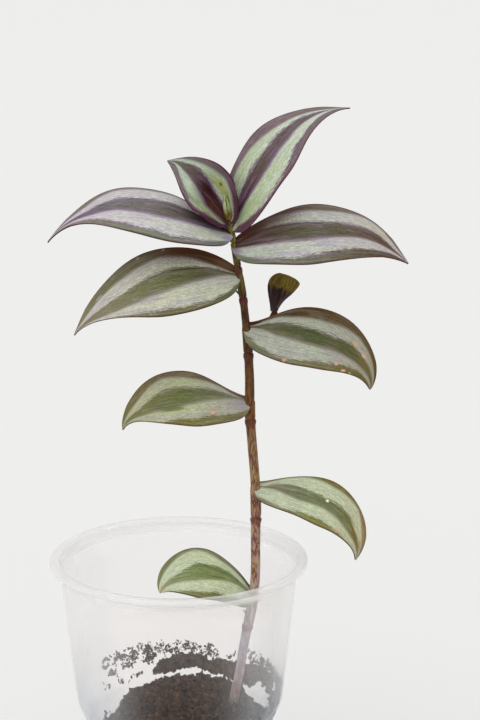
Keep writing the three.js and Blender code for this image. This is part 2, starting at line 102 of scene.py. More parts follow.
class Line:
    """A smooth centripetal line through points, in millimetres."""

    STEPS = 24  # samples between two points
    NEAR = 0.004  # the share of the length to each side over which the heading is taken
    HALVINGS = 30  # how often share_at halves what is left of the line

    def __init__(self, points: Sequence[Sequence[float]]) -> None:
        """Samples the line.

        Args:
            points: the places that the line passes through, in order.
        """
        knots = [Vector(point) for point in points]
        knots = [2 * knots[0] - knots[1], *knots, 2 * knots[-1] - knots[-2]]
        self.places: list[Vector] = []
        for index in range(1, len(knots) - 2):
            span = knots[index - 1 : index + 3]
            count = self.STEPS + (index == len(knots) - 3)
            self.places += [self._between(span, step / self.STEPS) for step in range(count)]
        self.lengths = [0.0]
        for before, after in zip(self.places, self.places[1:]):
            self.lengths.append(self.lengths[-1] + (after - before).length)
        self.length = self.lengths[-1]

    @staticmethod
    def _between(span: Sequence[Vector], share: float) -> Vector:
        """Gives a point between the second and third of four knots.

        Args:
            span: four knots in order.
            share: how far along the middle stretch.

        Returns:
            The point on the centripetal spline.
        """
        before, start, end, after = span
        gaps = [max(1e-4, (b - a).length ** 0.5) for a, b in zip(span, span[1:])]
        leave = (start - before) / gaps[0] - (end - before) / (gaps[0] + gaps[1])
        leave = (leave + (end - start) / gaps[1]) * gaps[1]
        arrive = (end - start) / gaps[1] - (after - start) / (gaps[1] + gaps[2])
        arrive = (arrive + (after - end) / gaps[2]) * gaps[1]
        square, cube = share**2, share**3
        return (
            start * (2 * cube - 3 * square + 1)
            + leave * (cube - 2 * square + share)
            + end * (3 * square - 2 * cube)
            + arrive * (cube - square)
        )

    def at(self, share: float) -> Vector:
        """Gives the point at a share of the length.

        Args:
            share: 0 at the start, 1 at the end.

        Returns:
            The point.
        """
        reach = min(max(share, 0.0), 1.0) * self.length
        high = max(1, min(bisect_right(self.lengths, reach), len(self.lengths) - 1))
        low = high - 1
        gap = self.lengths[high] - self.lengths[low]
        return self.places[low].lerp(self.places[high], (reach - self.lengths[low]) / gap)

    def heading(self, share: float) -> Vector:
        """Returns the unit direction of the line at a share of its length."""
        return (self.at(share + self.NEAR) - self.at(share - self.NEAR)).normalized()

    def share_at(self, height: float) -> float:
        """Gives the share of an upright line's length at which it passes a height.

        Args:
            height: the height in millimetres.

        Returns:
            The share, from 0 to 1.
        """
        low, high = 0.0, 1.0
        for _ in range(self.HALVINGS):
            middle = (low + high) / 2
            low, high = (middle, high) if self.at(middle).z < height else (low, middle)
        return low


# ---- Modelling ----------------------------------------------------------------------------


def activate(*pieces: Piece) -> None:
    """Leaves object mode with nothing selected but some pieces, the first of them active.

    Args:
        pieces: the mesh objects.
    """
    if bpy.context.object and bpy.context.object.mode != "OBJECT":
        bpy.ops.object.mode_set(mode="OBJECT")
    bpy.ops.object.select_all(action="DESELECT")
    for piece in reversed(pieces):
        piece.select_set(True)
        bpy.context.view_layer.objects.active = piece


def edit(piece: Piece, *steps: Callable[[], object]) -> None:
    """Runs edit-mode operators on all of one piece.

    Args:
        piece: the mesh object.
        steps: the operators' calls, in order.
    """
    activate(piece)
    bpy.ops.object.mode_set(mode="EDIT")
    bpy.ops.mesh.select_all(action="SELECT")
    for step in steps:
        step()
    bpy.ops.object.mode_set(mode="OBJECT")


def shaped_grid(
    name: str, rows: int, columns: int, place: Callable[[float, float], Vector], closed: bool = False
) -> Piece:
    """Adds a grid primitive and moves each of its vertices to its place on a surface.

    Args:
        name: the piece's name.
        rows: faces along the surface.
        columns: faces across it, or round it when it closes on itself.
        place: gives the place in millimetres from the shares along and across.
        closed: whether the last column meets the first, and the ends are closed.

    Returns:
        The mesh object. Its UV map holds the two shares.
    """
    activate()
    bpy.ops.mesh.primitive_grid_add(x_subdivisions=rows, y_subdivisions=columns, size=2)
    piece = bpy.context.object
    piece.name = piece.data.name = name
    for vertex in piece.data.vertices:
        vertex.co = place((vertex.co.x + 1) / 2, (vertex.co.y + 1) / 2) * MM
    if closed:
        edit(
            piece,
            lambda: bpy.ops.mesh.remove_doubles(threshold=2e-6),
            lambda: bpy.ops.mesh.dissolve_degenerate(threshold=1e-6),
            lambda: bpy.ops.mesh.fill_holes(sides=0),
            lambda: bpy.ops.mesh.normals_make_consistent(inside=False),
        )
    return piece


def tube(
    name: str, line: Line, reach: tuple[float, float], radius: Callable[[float, float], float],
    rows: int, sides: int,
) -> Piece:
    """Makes a closed round body along a line.

    Args:
        name: the piece's name.
        line: the line it follows.
        reach: the shares of the line where it starts and ends.
        radius: gives the radius from the share of the line and the turn in radians.
        rows: faces along it.
        sides: faces round it.

    Returns:
        The mesh object, with u along it and v round it.
    """
    frames = []
    for row in range(rows + 1):
        share = lerp(*reach, row / rows)
        heading = line.heading(share)
        right = Vector((0, 1, 0)).cross(heading).normalized()
        frames.append((share, line.at(share), right, heading.cross(right)))

    def place(along: float, across: float) -> Vector:
        """Returns the place on the tube's skin."""
        share, centre, right, front = frames[round(along * rows)]
        turn = math.tau * across
        out = radius(share, turn)
        return centre + right * (out * math.cos(turn)) + front * (out * math.sin(turn))

    return shaped_grid(name, rows, sides, place, closed=True)


def join(first: Piece, *others: Piece) -> Piece:
    """Joins meshes into the first of them and returns it."""
    activate(first, *others)
    bpy.ops.object.join()
    return first


def smooth(piece: Piece, degrees: float) -> Piece:
    """Shades a piece smooth where its faces meet at less than an angle, and returns it."""
    activate(piece)
    bpy.ops.object.shade_smooth_by_angle(angle=math.radians(degrees))
    return piece


def hand_in(piece: Piece, slot: str, node: str, *finishes: Material) -> None:
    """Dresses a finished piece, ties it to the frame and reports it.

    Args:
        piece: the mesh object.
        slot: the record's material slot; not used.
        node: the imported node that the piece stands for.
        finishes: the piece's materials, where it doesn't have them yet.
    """
    if finishes:
        piece.data.materials.clear()
    for finish in finishes:
        piece.data.materials.append(finish)
    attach(piece, BODY)
    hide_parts(node)
    log.info("%s: %d faces", piece.name, len(piece.data.polygons))


# ---- Colours and nodes --------------------------------------------------------------------


def linear(code: str) -> Colour:
    """Turns an sRGB hex colour to a linear one.

    Args:
        code: six hex digits.

    Returns:
        Red, green, blue and an alpha of 1.
    """
    channels = [int(code[start : start + 2], 16) / 255 for start in (0, 2, 4)]
    red, green, blue = (c / 12.92 if c <= 0.04045 else ((c + 0.055) / 1.055) ** 2.4 for c in channels)
    return (red, green, blue, 1.0)


def grey(value: float) -> Colour:
    """Returns a linear grey for a ramp that holds a factor."""
    return (value, value, value, 1.0)


def new_material(name: str) -> tuple[Material, Tree]:
    """Makes an empty node material.

    Args:
        name: the finish's name.

    Returns:
        The material and its node tree, with nothing in it.
    """
    material = bpy.data.materials.new(name)
    material.use_nodes = True
    material.node_tree.nodes.clear()
    return material, material.node_tree


def add_node(
    tree: Tree, kind: str, inputs: dict[str | int, object] | tuple[object, ...] = (),
    out: str | int = 0, stops: Sequence[tuple[float, Colour]] = (), **settings: object,
) -> Socket | None:
    """Adds a shader node with its settings, values and links.

    Args:
        tree: the node tree.
        kind: the node's type, without the word ShaderNode.
        inputs: a value, or an output to link, for each input in turn, or by name or number.
        out: the name or number of the output that is wanted.
        stops: the places and colours of a colour ramp.
        settings: the node's own properties.

    Returns:
        The wanted output, or None from a node that has no outputs.
    """
    made = tree.nodes.new(f"ShaderNode{kind}")
    for name, value in settings.items():
        setattr(made, name, value)
    if stops:
        elements = made.color_ramp.elements
        while len(elements) < len(stops):
            elements.new(1.0)
        for element, (position, colour) in zip(elements, stops):
            element.position, element.color = position, colour
    for key, value in inputs.items() if isinstance(inputs, dict) else enumerate(inputs):
        if isinstance(value, Socket):
            tree.links.new(value, made.inputs[key])
        else:
            made.inputs[key].default_value = value
    return made.outputs[out] if made.outputs else None


def lay_over(tree: Tree, colour: object, *layers: tuple[object, object]) -> Socket:
    """Lays colours over one another.

    Args:
        tree: the node tree.
        colour: the lowest colour.
        layers: for each layer, how much it covers and its colour.

    Returns:
        The colour under all its layers.
    """
    for cover, over in layers:
        colour = add_node(tree, "Mix", {0: cover, 6: colour, 7: over}, 2, data_type="RGBA")
    return colour


def add_surface(
    tree: Tree, colour: Socket, relief: Socket, bump: tuple[float, float], roughness: float, gloss: object
) -> None:
    """Ends a matt or satin material with its relief, its surface and its output.

    Args:
        tree: the node tree.
        colour: its colour.
        relief: its relief.
        bump: how strong the relief is, and how high in millimetres.
        roughness: its roughness.
        gloss: how much it mirrors.
    """
    inputs = {"Height": relief, "Strength": bump[0], "Distance": bump[1] * MM}
    normal = add_node(tree, "Bump", inputs)
    inputs = {"Base Color": colour, "Roughness": roughness, "Specular IOR Level": gloss, "Normal": normal}
    add_node(tree, "OutputMaterial", (add_node(tree, "BsdfPrincipled", inputs),))


# ---- Finishes -----------------------------------------------------------------------------


@dataclass(frozen=True)
class ClearPolypropylene:
    """Thermoformed clear polypropylene: glossy and see-through, with a thin milky veil.

    The veil grows up the wall from the soil. This is painted light: it stands in for the light from behind
    that the milky wall scatters where the soil doesn't block it. It is thickest in the rolled rim and where
    the wall is seen at a slant, and bluish low down. Its peak just under the lip is partly the milky rim and
    partly a painted highlight line.
    """

    haze: str = "ffffff"
    low_haze: str = "dbe8f4"
    haze_turn: tuple[float, float] = (76.0, 96.0)  # the heights where the one becomes the other
    passed: str = "fffefe"  # what the wall lets through, a touch warmer than what it scatters
    # The veil's growth up the wall is painted backlight, and its peak just under the lip is partly a painted
    # highlight line.
    veil: tuple[tuple[float, float], ...] = (  # heights, and the share of light the veil stops
        (60, 0.02), (86, 0.025), (96, 0.035), (104, 0.05), (111, 0.07), (125.2, 0.08),
        (126.4, 0.5), (127.4, 0.34), (129, 0.22), (130.8, 0.22),
    )
    # How far the wall faces away where the veil starts and stops growing, and how much it grows.
    slant: tuple[float, float, float] = (0.12, 0.42, 0.165)
    edge: tuple[float, float, float] = (0.45, 0.95, 0.3)
    tallest: float = 135.0
    ior: float = 1.49

    def make(self) -> Material:
        """Makes the material.

        Returns:
            The material.
        """
        material, tree = new_material("thermoformed_clear_polypropylene")
        place = add_node(tree, "TexCoord", out="Object")
        height = add_node(tree, "SeparateXYZ", (place,), "Z")
        share = add_node(tree, "MapRange", (height, 0.0, self.tallest * MM))
        # The veil by height: its growth up the wall and its peak under the lip are partly painted light.
        stops = [(level / self.tallest, grey(amount)) for level, amount in self.veil]
        veil = add_node(tree, "ValToRGB", (share,), stops=stops)
        # Seen at a slant, the eye looks through more of the milky wall.
        facing = add_node(tree, "LayerWeight", {"Blend": 0.5}, "Facing")
        for (low, high, amount), ramp in ((self.edge, "LINEAR"), (self.slant, "SMOOTHSTEP")):
            more = add_node(
                tree, "MapRange", (facing, low, high, 0.0, amount), interpolation_type=ramp
            )
            veil = add_node(tree, "Math", (veil, more), operation="ADD", use_clamp=True)
        colours = zip(self.haze_turn, (self.low_haze, self.haze))
        stops = [(level / self.tallest, linear(code)) for level, code in colours]
        milky = add_node(tree, "BsdfPrincipled", {
            "Base Color": add_node(tree, "ValToRGB", (share,), stops=stops), "Roughness": 0.45,
            "IOR": self.ior, "Transmission Weight": 0.4, "Coat Weight": 0.8, "Coat Roughness": 0.06,
        })
        clear = add_node(tree, "BsdfTransparent", (linear(self.passed),))
        add_node(tree, "OutputMaterial", (add_node(tree, "MixShader", (veil, clear, milky)),))
        return material


@dataclass(frozen=True)
class DampPeat:
    """Damp peat potting mix, crumbled by hand: nearly black brown, rough, with paler fibres."""

    dark: str = "1f1410"
    warm: str = "57402f"
    fibre: str = "94775e"
    patch: float = 1.76  # mm across a patch of colour, about two crumbs
    clod: float = 3.2  # mm across the clods that the crumbs cling together in
    grain: float = 0.56  # mm across one grain

    def make(self) -> Material:
        """Makes the material.

        Returns:
            The material.
        """
        material, tree = new_material("damp_peat_mix")
        place = add_node(tree, "TexCoord", out="Object")
        patches, clods = (
            add_node(
                tree, "TexNoise",
                {"Vector": place, "Scale": 1 / (size * MM), "Detail": detail, "Roughness": rough},
            )
            for size, detail, rough in ((self.patch, 4.0, 0.7), (self.clod, 3.0, 0.65))
        )
        shares, codes = (0.36, 0.55, 0.64, 0.72), (self.dark, self.warm, self.warm, self.fibre)
        colour = add_node(tree, "ValToRGB", (patches,), stops=[*zip(shares, map(linear, codes))])
        shade = add_node(tree, "MapRange", (clods, 0.36, 0.64, 0.55, 1.5))
        colour = add_node(tree, "VectorMath", {0: colour, "Scale": shade}, operation="SCALE")
        grains = add_node(tree, "TexVoronoi", {"Vector": place, "Scale": 1 / (self.grain * MM)})
        add_surface(tree, colour, grains, (0.9, 0.35), roughness=0.95, gloss=0.08)
        return material


@dataclass(frozen=True)
class StemTone:
    """The stem's colours at one height, and how thickly it is flecked."""

    height: float
    skin: str
    light: str
    fleck: str
    flecks: float


@dataclass(frozen=True)
class StemSkin:
    """The stem's living skin: satin purple-brown, flecked lengthwise with yellow-green.

    The stretch inside the cup is pale and greyish lavender, which paints in the light that the milky
    wall scatters over it, and the young growth at the top is olive.
    """

    tones: tuple[StemTone, ...] = tuple(
        StemTone(*row)
        for row in (
            # From 77 to 114 mm, inside the cup, the tones are pale greyish lavender: painted light that the
            # milky wall scatters over the stem.
            (69, "3a2e29", "4c3e36", "5a4c40", 0.1), (77, "846a5f", "a48e84", "a8968a", 0.1),
            (84, "978488", "b2a6aa", "b0a090", 0.2), (100, "8c828e", "aaa3b0", "a8a098", 0.1),
            (114, "8a6a6e", "b8a6ac", "a8985c", 0.5), (122, "7a4a48", "b09690", "b2a270", 0.9),
            (144, "74423e", "a07e78", "b0a068", 0.8), (150, "6c3a34", "94685c", "a08c54", 0.6),
            (160, "6a3e34", "94705c", "a89858", 1.0), (170, "6a4434", "927660", "9a8654", 0.9),
            (184, "5c341e", "805a34", "86683a", 0.4), (205, "45261a", "603e1c", "685028", 0.35),
            (228, "381d14", "523a18", "5e4c22", 0.4), (256, "4e4220", "8a7c3a", "8c8038", 0.6),
        )
    )
    ring: str = "5e2a2c"
    rings: tuple[float, ...] = (103.7, 146.2, 183.2, 207.8, 227.8, 238.9)  # heights of the nodes
    ring_steps: tuple[tuple[float, float], ...] = ((-2.4, 0.0), (-0.6, 0.55), (0.4, 0.55), (1.8, 0.0))
    lowest: float = 50.0
    tallest: float = 260.0

    def _share(self, height: float) -> float:
        """Returns a height as a share of the stem's reach."""
        return (height - self.lowest) / (self.tallest - self.lowest)

    def make(self) -> Material:
        """Makes the material.

        Returns:
            The material.
        """
        material, tree = new_material("tradescantia_stem_skin")
        place = add_node(tree, "TexCoord", out="Object")
        height = add_node(tree, "SeparateXYZ", (place,), "Z")
        share = add_node(tree, "MapRange", (height, self.lowest * MM, self.tallest * MM))
        skin, light, fleck, thickly = (
            add_node(
                tree, "ValToRGB", (share,),
                stops=[(self._share(tone.height), pick(tone)) for tone in self.tones],
            )
            for pick in (
                lambda tone: linear(tone.skin), lambda tone: linear(tone.light),
                lambda tone: linear(tone.fleck), lambda tone: grey(tone.flecks),
            )
        )
        # Flecks are 0.4 mm wide and 1.6 mm long; the pale streaks between them are wider.
        drawn = add_node(tree, "Mapping", {"Vector": place, "Scale": (1.0, 1.0, 0.24)})
        flecks = add_node(
            tree, "TexNoise", {"Vector": drawn, "Scale": 1 / (0.42 * MM), "Detail": 1.5, "Roughness": 0.5}
        )
        streaks = add_node(
            tree, "TexNoise", {"Vector": drawn, "Scale": 1 / (1.1 * MM), "Detail": 2.0, "Distortion": 0.4}
        )
        pale = add_node(tree, "MapRange", (streaks, 0.44, 0.62))
        level = add_node(tree, "Math", (thickly, 0.13, flecks), operation="MULTIPLY_ADD")
        flecked = add_node(tree, "MapRange", (level, 0.62, 0.7, 0.0, 0.8))
        # Each node is a ring of dark red.
        stops = [
            (self._share(middle + step), grey(amount))
            for middle in self.rings for step, amount in self.ring_steps
        ]
        ringed = add_node(tree, "ValToRGB", (share,), stops=stops)
        colour = lay_over(tree, skin, (pale, light), (flecked, fleck), (ringed, linear(self.ring)))
        add_surface(tree, colour, flecks, (0.5, 0.12), roughness=0.45, gloss=0.14)
        return material


@dataclass(frozen=True)
class Tones:
    """A band's colour at the blade's root, in its middle and at its tip; on most blades the silver is palest
    in the middle, partly its own colour and partly a painted highlight on the blade's arch.
    """

    root: str
    middle: str
    tip: str
    places: tuple[float, float, float] = (0.08, 0.45, 0.85)

    def ramp(self, tree: Tree, along: Socket) -> Socket:
        """Adds the colours' ramp along the blade and returns its colour."""
        colours = map(linear, (self.root, self.middle, self.tip))
        return add_node(tree, "ValToRGB", (along,), stops=[*zip(self.places, colours)])


@dataclass(frozen=True)
class Patch:
    """A patch of another colour on a leaf, such as painted shade at a blade's root or a scorched spot."""

    along: float  # its middle, in per cent of the blade's length
    across: float  # and of its width, from 0 at the near margin
    length: float  # half its length along the blade, in millimetres
    width: float  # half its width
    colour: str
    strength: float = 0.9
    soft: float = 0.45  # the share of its reach over which it fades


@dataclass(frozen=True)
class LeafFace:
    """The upper face of a zebrina leaf: two silver bands on dark green, with soft purple edges."""

    # The bands' edges. Each row has a place along the blade and, across it, the near margin's, the
    # stripe's two and the far margin's edge, all in per cent of the blade's length and width.
    edges: tuple[tuple[float, float, float, float, float], ...]
    silver: Tones
    stripe: Tones
    near_margin: Tones
    far_margin: Tones
    fringe: str = "7d6878"
    tint: str = "b7aebd"  # the lavender sheen of the silver
    tinted: float = 0.6
    blushed: float = 0.4  # how far the fringe's purple clouds the green
    rim: str = "4e3028"
    soft: float = 0.022  # half the width over which one band turns to the next
    purple: tuple[float, ...] = (0.4, 0.75, 0.6, 0.5)  # how strong the fringe is at each edge
    spread: float = 1.9  # how far the fringe reaches, in widths of that turn
    patches: tuple[Patch, ...] = ()

    def make(self, name: str, length: float, width: float) -> Material:
        """Makes the material of one leaf's upper face.

        Args:
            name: the leaf's name.
            length: the blade's length, to turn its shares into millimetres.
            width: the blade's width.

        Returns:
            The material, which reads the blade's UV map.
        """
        material, tree = new_material(f"zebrina_upper_{name}")
        shares = add_node(tree, "UVMap", uv_map="UVMap")
        along, across, _ = add_node(tree, "SeparateXYZ", (shares,)).node.outputs
        flat = add_node(tree, "VectorMath", (shares, (length, width, 1.0)), operation="MULTIPLY")
        # Veins run along the blade, 0.7 mm apart; hair-fine lines, 0.3 mm apart, lie between them;
        # the silver sparkles in cells of 0.4 mm; and slow clouds turn it lavender.
        rates = (((0.11, 1.5), 3), ((0.5, 3.4), 1), ((2.5, 2.5), 1), ((0.07, 0.5), 1))
        veins, lines, cells, clouds = (self._grain(tree, flat, rate, detail) for rate, detail in rates)
        where = across
        for grain, fray in ((veins, 0.016), (lines, 0.014)):
            frayed = add_node(tree, "MapRange", (grain, *REACH, -fray, fray))
            where = add_node(tree, "Math", (where, frayed), operation="ADD")
        masks, fringes = self._edges(tree, along, where)
        # The silver sparkles and clouds over with lavender; the green is streaky and blushes.
        silvery = (self.tint, (-0.3 * self.tinted, 1.3 * self.tinted), (0.84, 1.16), (0.84, 1.14))
        green = (self.fringe, (-0.7 * self.blushed, 1.2 * self.blushed), (0.9, 1.1), (0.72, 1.26))
        bands = []
        for tones, (cover, cloudy, sparkling, streaky) in (
            (self.near_margin, green), (self.silver, silvery), (self.stripe, green), (self.far_margin, green)
        ):
            cloud = add_node(tree, "MapRange", (clouds, *REACH, *cloudy))
            band = lay_over(tree, tones.ramp(tree, along), (cloud, linear(cover)))
            for grain, gain in ((cells, sparkling), (veins, streaky)):
                shade = add_node(tree, "MapRange", (grain, *REACH, *gain))
                band = add_node(tree, "VectorMath", {0: band, "Scale": shade}, operation="SCALE")
            bands.append(band)
        near, silver, stripe, far = bands
        colour = lay_over(
            tree, near, *zip(masks, (silver, stripe, silver, far)), (fringes, linear(self.fringe))
        )
        lined = add_node(tree, "MapRange", (lines, *REACH, 0.8, 1.18))
        colour = add_node(tree, "VectorMath", {0: colour, "Scale": lined}, operation="SCALE")
        # Patches lay real spots and tints, and painted shade, over the face.
        for patch in self.patches:
            cover = self._cover(tree, flat, cells, patch, (length, width))
            colour = lay_over(tree, colour, (cover, linear(patch.colour)))
        # A dark hairline runs round the margin.
        inwards = add_node(tree, "Math", (across, 0.5), operation="PINGPONG")
        hairline = add_node(tree, "MapRange", (inwards, 0.006, 0.026, 0.9, 0.0))
        colour = lay_over(tree, colour, (hairline, linear(self.rim)))
        # The dark green is matt; the silver's air-filled cells shine a little.
        bright = add_node(tree, "SeparateXYZ", (colour,), "Y")
        sheen = add_node(tree, "MapRange", (bright, 0.04, 0.4, 0.02, 0.2))
        relief = add_node(tree, "Math", (cells, veins), operation="ADD")
        add_surface(tree, colour, relief, (0.5, 0.14), roughness=0.5, gloss=sheen)
        return material

    @staticmethod
    def _grain(tree: Tree, flat: Socket, rate: tuple[float, float], detail: float) -> Socket:
        """Adds a noise over the blade.

        Args:
            tree: the material's nodes.
            flat: the place on the blade in millimetres.
            rate: the noise's features per millimetre along and across.
            detail: its detail.

        Returns:
            The noise, about 0.3 to 0.7.
        """
        scaled = add_node(tree, "VectorMath", (flat, (*rate, 1.0)), operation="MULTIPLY")
        inputs = {"Vector": scaled, "Scale": 1.0, "Detail": detail, "Roughness": 0.6}
        return add_node(tree, "TexNoise", inputs, noise_dimensions="2D")

    def _edges(self, tree: Tree, along: Socket, where: Socket) -> tuple[list[Socket], Socket]:
        """Draws the four edges of the bands.

        Args:
            tree: the material's nodes.
            along: the share along the blade.
            where: the frayed share across it.

        Returns:
            For each edge, a mask that turns to 1 beyond it; and the strength of the purple fringe.
        """
        # One ramp holds all four edges: three as its colour and the last as its alpha.
        stops = [(row[0] / 100, [edge / 100 for edge in row[1:]]) for row in self.edges]
        ramp = add_node(tree, "ValToRGB", (along,), stops=stops)
        edges = (*add_node(tree, "SeparateXYZ", (ramp,)).node.outputs, ramp.node.outputs[1])
        masks, fringe = [], 0.0
        for edge, amount in zip(edges, self.purple):
            beyond = add_node(tree, "Math", (where, edge), operation="SUBTRACT")
            near = add_node(tree, "Math", (beyond,), operation="ABSOLUTE")
            mask, purple = (
                add_node(tree, "MapRange", inputs, interpolation_type="SMOOTHSTEP")
                for inputs in (
                    (beyond, -self.soft, self.soft), (near, 0.0, self.spread * self.soft, amount, 0.0)
                )
            )
            masks.append(mask)
            fringe = add_node(tree, "Math", (fringe, purple), operation="MAXIMUM")
        return masks, fringe

    @staticmethod
    def _cover(
        tree: Tree, flat: Socket, cells: Socket, patch: Patch, size: tuple[float, float]
    ) -> Socket:
        """Gives how far one patch covers the leaf.

        Args:
            tree: the material's nodes.
            flat: the place on the blade in millimetres.
            cells: a noise that makes the patch's edge ragged.
            patch: the patch.
            size: the blade's length and width.

        Returns:
            The share that the patch covers.
        """
        centre = (patch.along / 100 * size[0], patch.across / 100 * size[1], 0.0)
        scale = (1 / patch.length, 1 / patch.width, 0.0)
        away = add_node(tree, "VectorMath", (flat, centre), operation="SUBTRACT")
        away = add_node(tree, "VectorMath", (away, scale), operation="MULTIPLY")
        away = add_node(tree, "VectorMath", (away,), "Value", operation="LENGTH")
        ragged = add_node(tree, "MapRange", (cells, *REACH, 0.75, 1.25))
        away = add_node(tree, "Math", (away, ragged), operation="MULTIPLY")
        inputs = (away, 1 - patch.soft, 1.0, patch.strength, 0.0)
        return add_node(tree, "MapRange", inputs, interpolation_type="SMOOTHSTEP")


def lengthwise_veins(tree: Tree, rate: tuple[float, float], detail: float) -> Socket:
    """Adds a noise that is drawn out along a piece.

    Args:
        tree: the material's nodes.
        rate: the noise's features along the piece and across it.
        detail: its detail.

    Returns:
        The noise, which reads the piece's UV map.
    """
    shares = add_node(tree, "UVMap", uv_map="UVMap")
    drawn = add_node(tree, "VectorMath", (shares, (*rate, 1.0)), operation="MULTIPLY")
    inputs = {"Vector": drawn, "Scale": 1.0, "Detail": detail}
    return add_node(tree, "TexNoise", inputs, noise_dimensions="2D")


@dataclass(frozen=True)
class LeafUnderside:
    """The underside of a zebrina leaf: deep magenta purple, satin, with fine long veins."""

    deep: str = "35162a"
    bright: str = "5e2c46"
    veins: float = 30.0  # features across a blade of 24 mm, so 0.8 mm apart

    def make(self) -> Material:
        """Makes the material.

        Returns:
            The material, which reads the blade's UV map.
        """
        material, tree = new_material("zebrina_underside")
        veins = lengthwise_veins(tree, (5.0, self.veins), 3.0)
        stops = [(0.35, linear(self.deep)), (0.68, linear(self.bright))]
        colour = add_node(tree, "ValToRGB", (veins,), stops=stops)
        add_surface(tree, colour, veins, (0.5, 0.15), roughness=0.45, gloss=0.2)
        return material


@dataclass(frozen=True)
class LengthwiseSkin:
    """Young leaf skin with streaks along it, from one colour at the foot to another at the tip."""

    name: str
    foot: tuple[str, str]  # its colour and its streaks' colour
    tip: tuple[str, str]
    turn: float  # the share along the piece where the colours change over
    blend: float
    streaks: float  # streaks across or round the piece

    def make(self) -> Material:
        """Makes the material.

        Returns:
            The material, which reads the piece's UV map.
        """
        material, tree = new_material(self.name)
        lines = lengthwise_veins(tree, (3.0, self.streaks), 2.0)
        low, high = (
            add_node(tree, "ValToRGB", (lines,), stops=[*zip((0.4, 0.62), map(linear, colours))])
            for colours in (self.foot, self.tip)
        )
        along = add_node(tree, "SeparateXYZ", (add_node(tree, "UVMap", uv_map="UVMap"),))
        ragged = add_node(tree, "MapRange", (lines, *REACH, -0.12, 0.12))
        where = add_node(tree, "Math", (along, ragged), operation="ADD")
        inputs = (where, self.turn - self.blend, self.turn + self.blend)
        change = add_node(tree, "MapRange", inputs, interpolation_type="SMOOTHSTEP")
        colour = lay_over(tree, low, (change, high))
        add_surface(tree, colour, lines, (0.6, 0.2), roughness=0.4, gloss=0.15)
        return material


# ---- Cup ----------------------------------------------------------------------------------


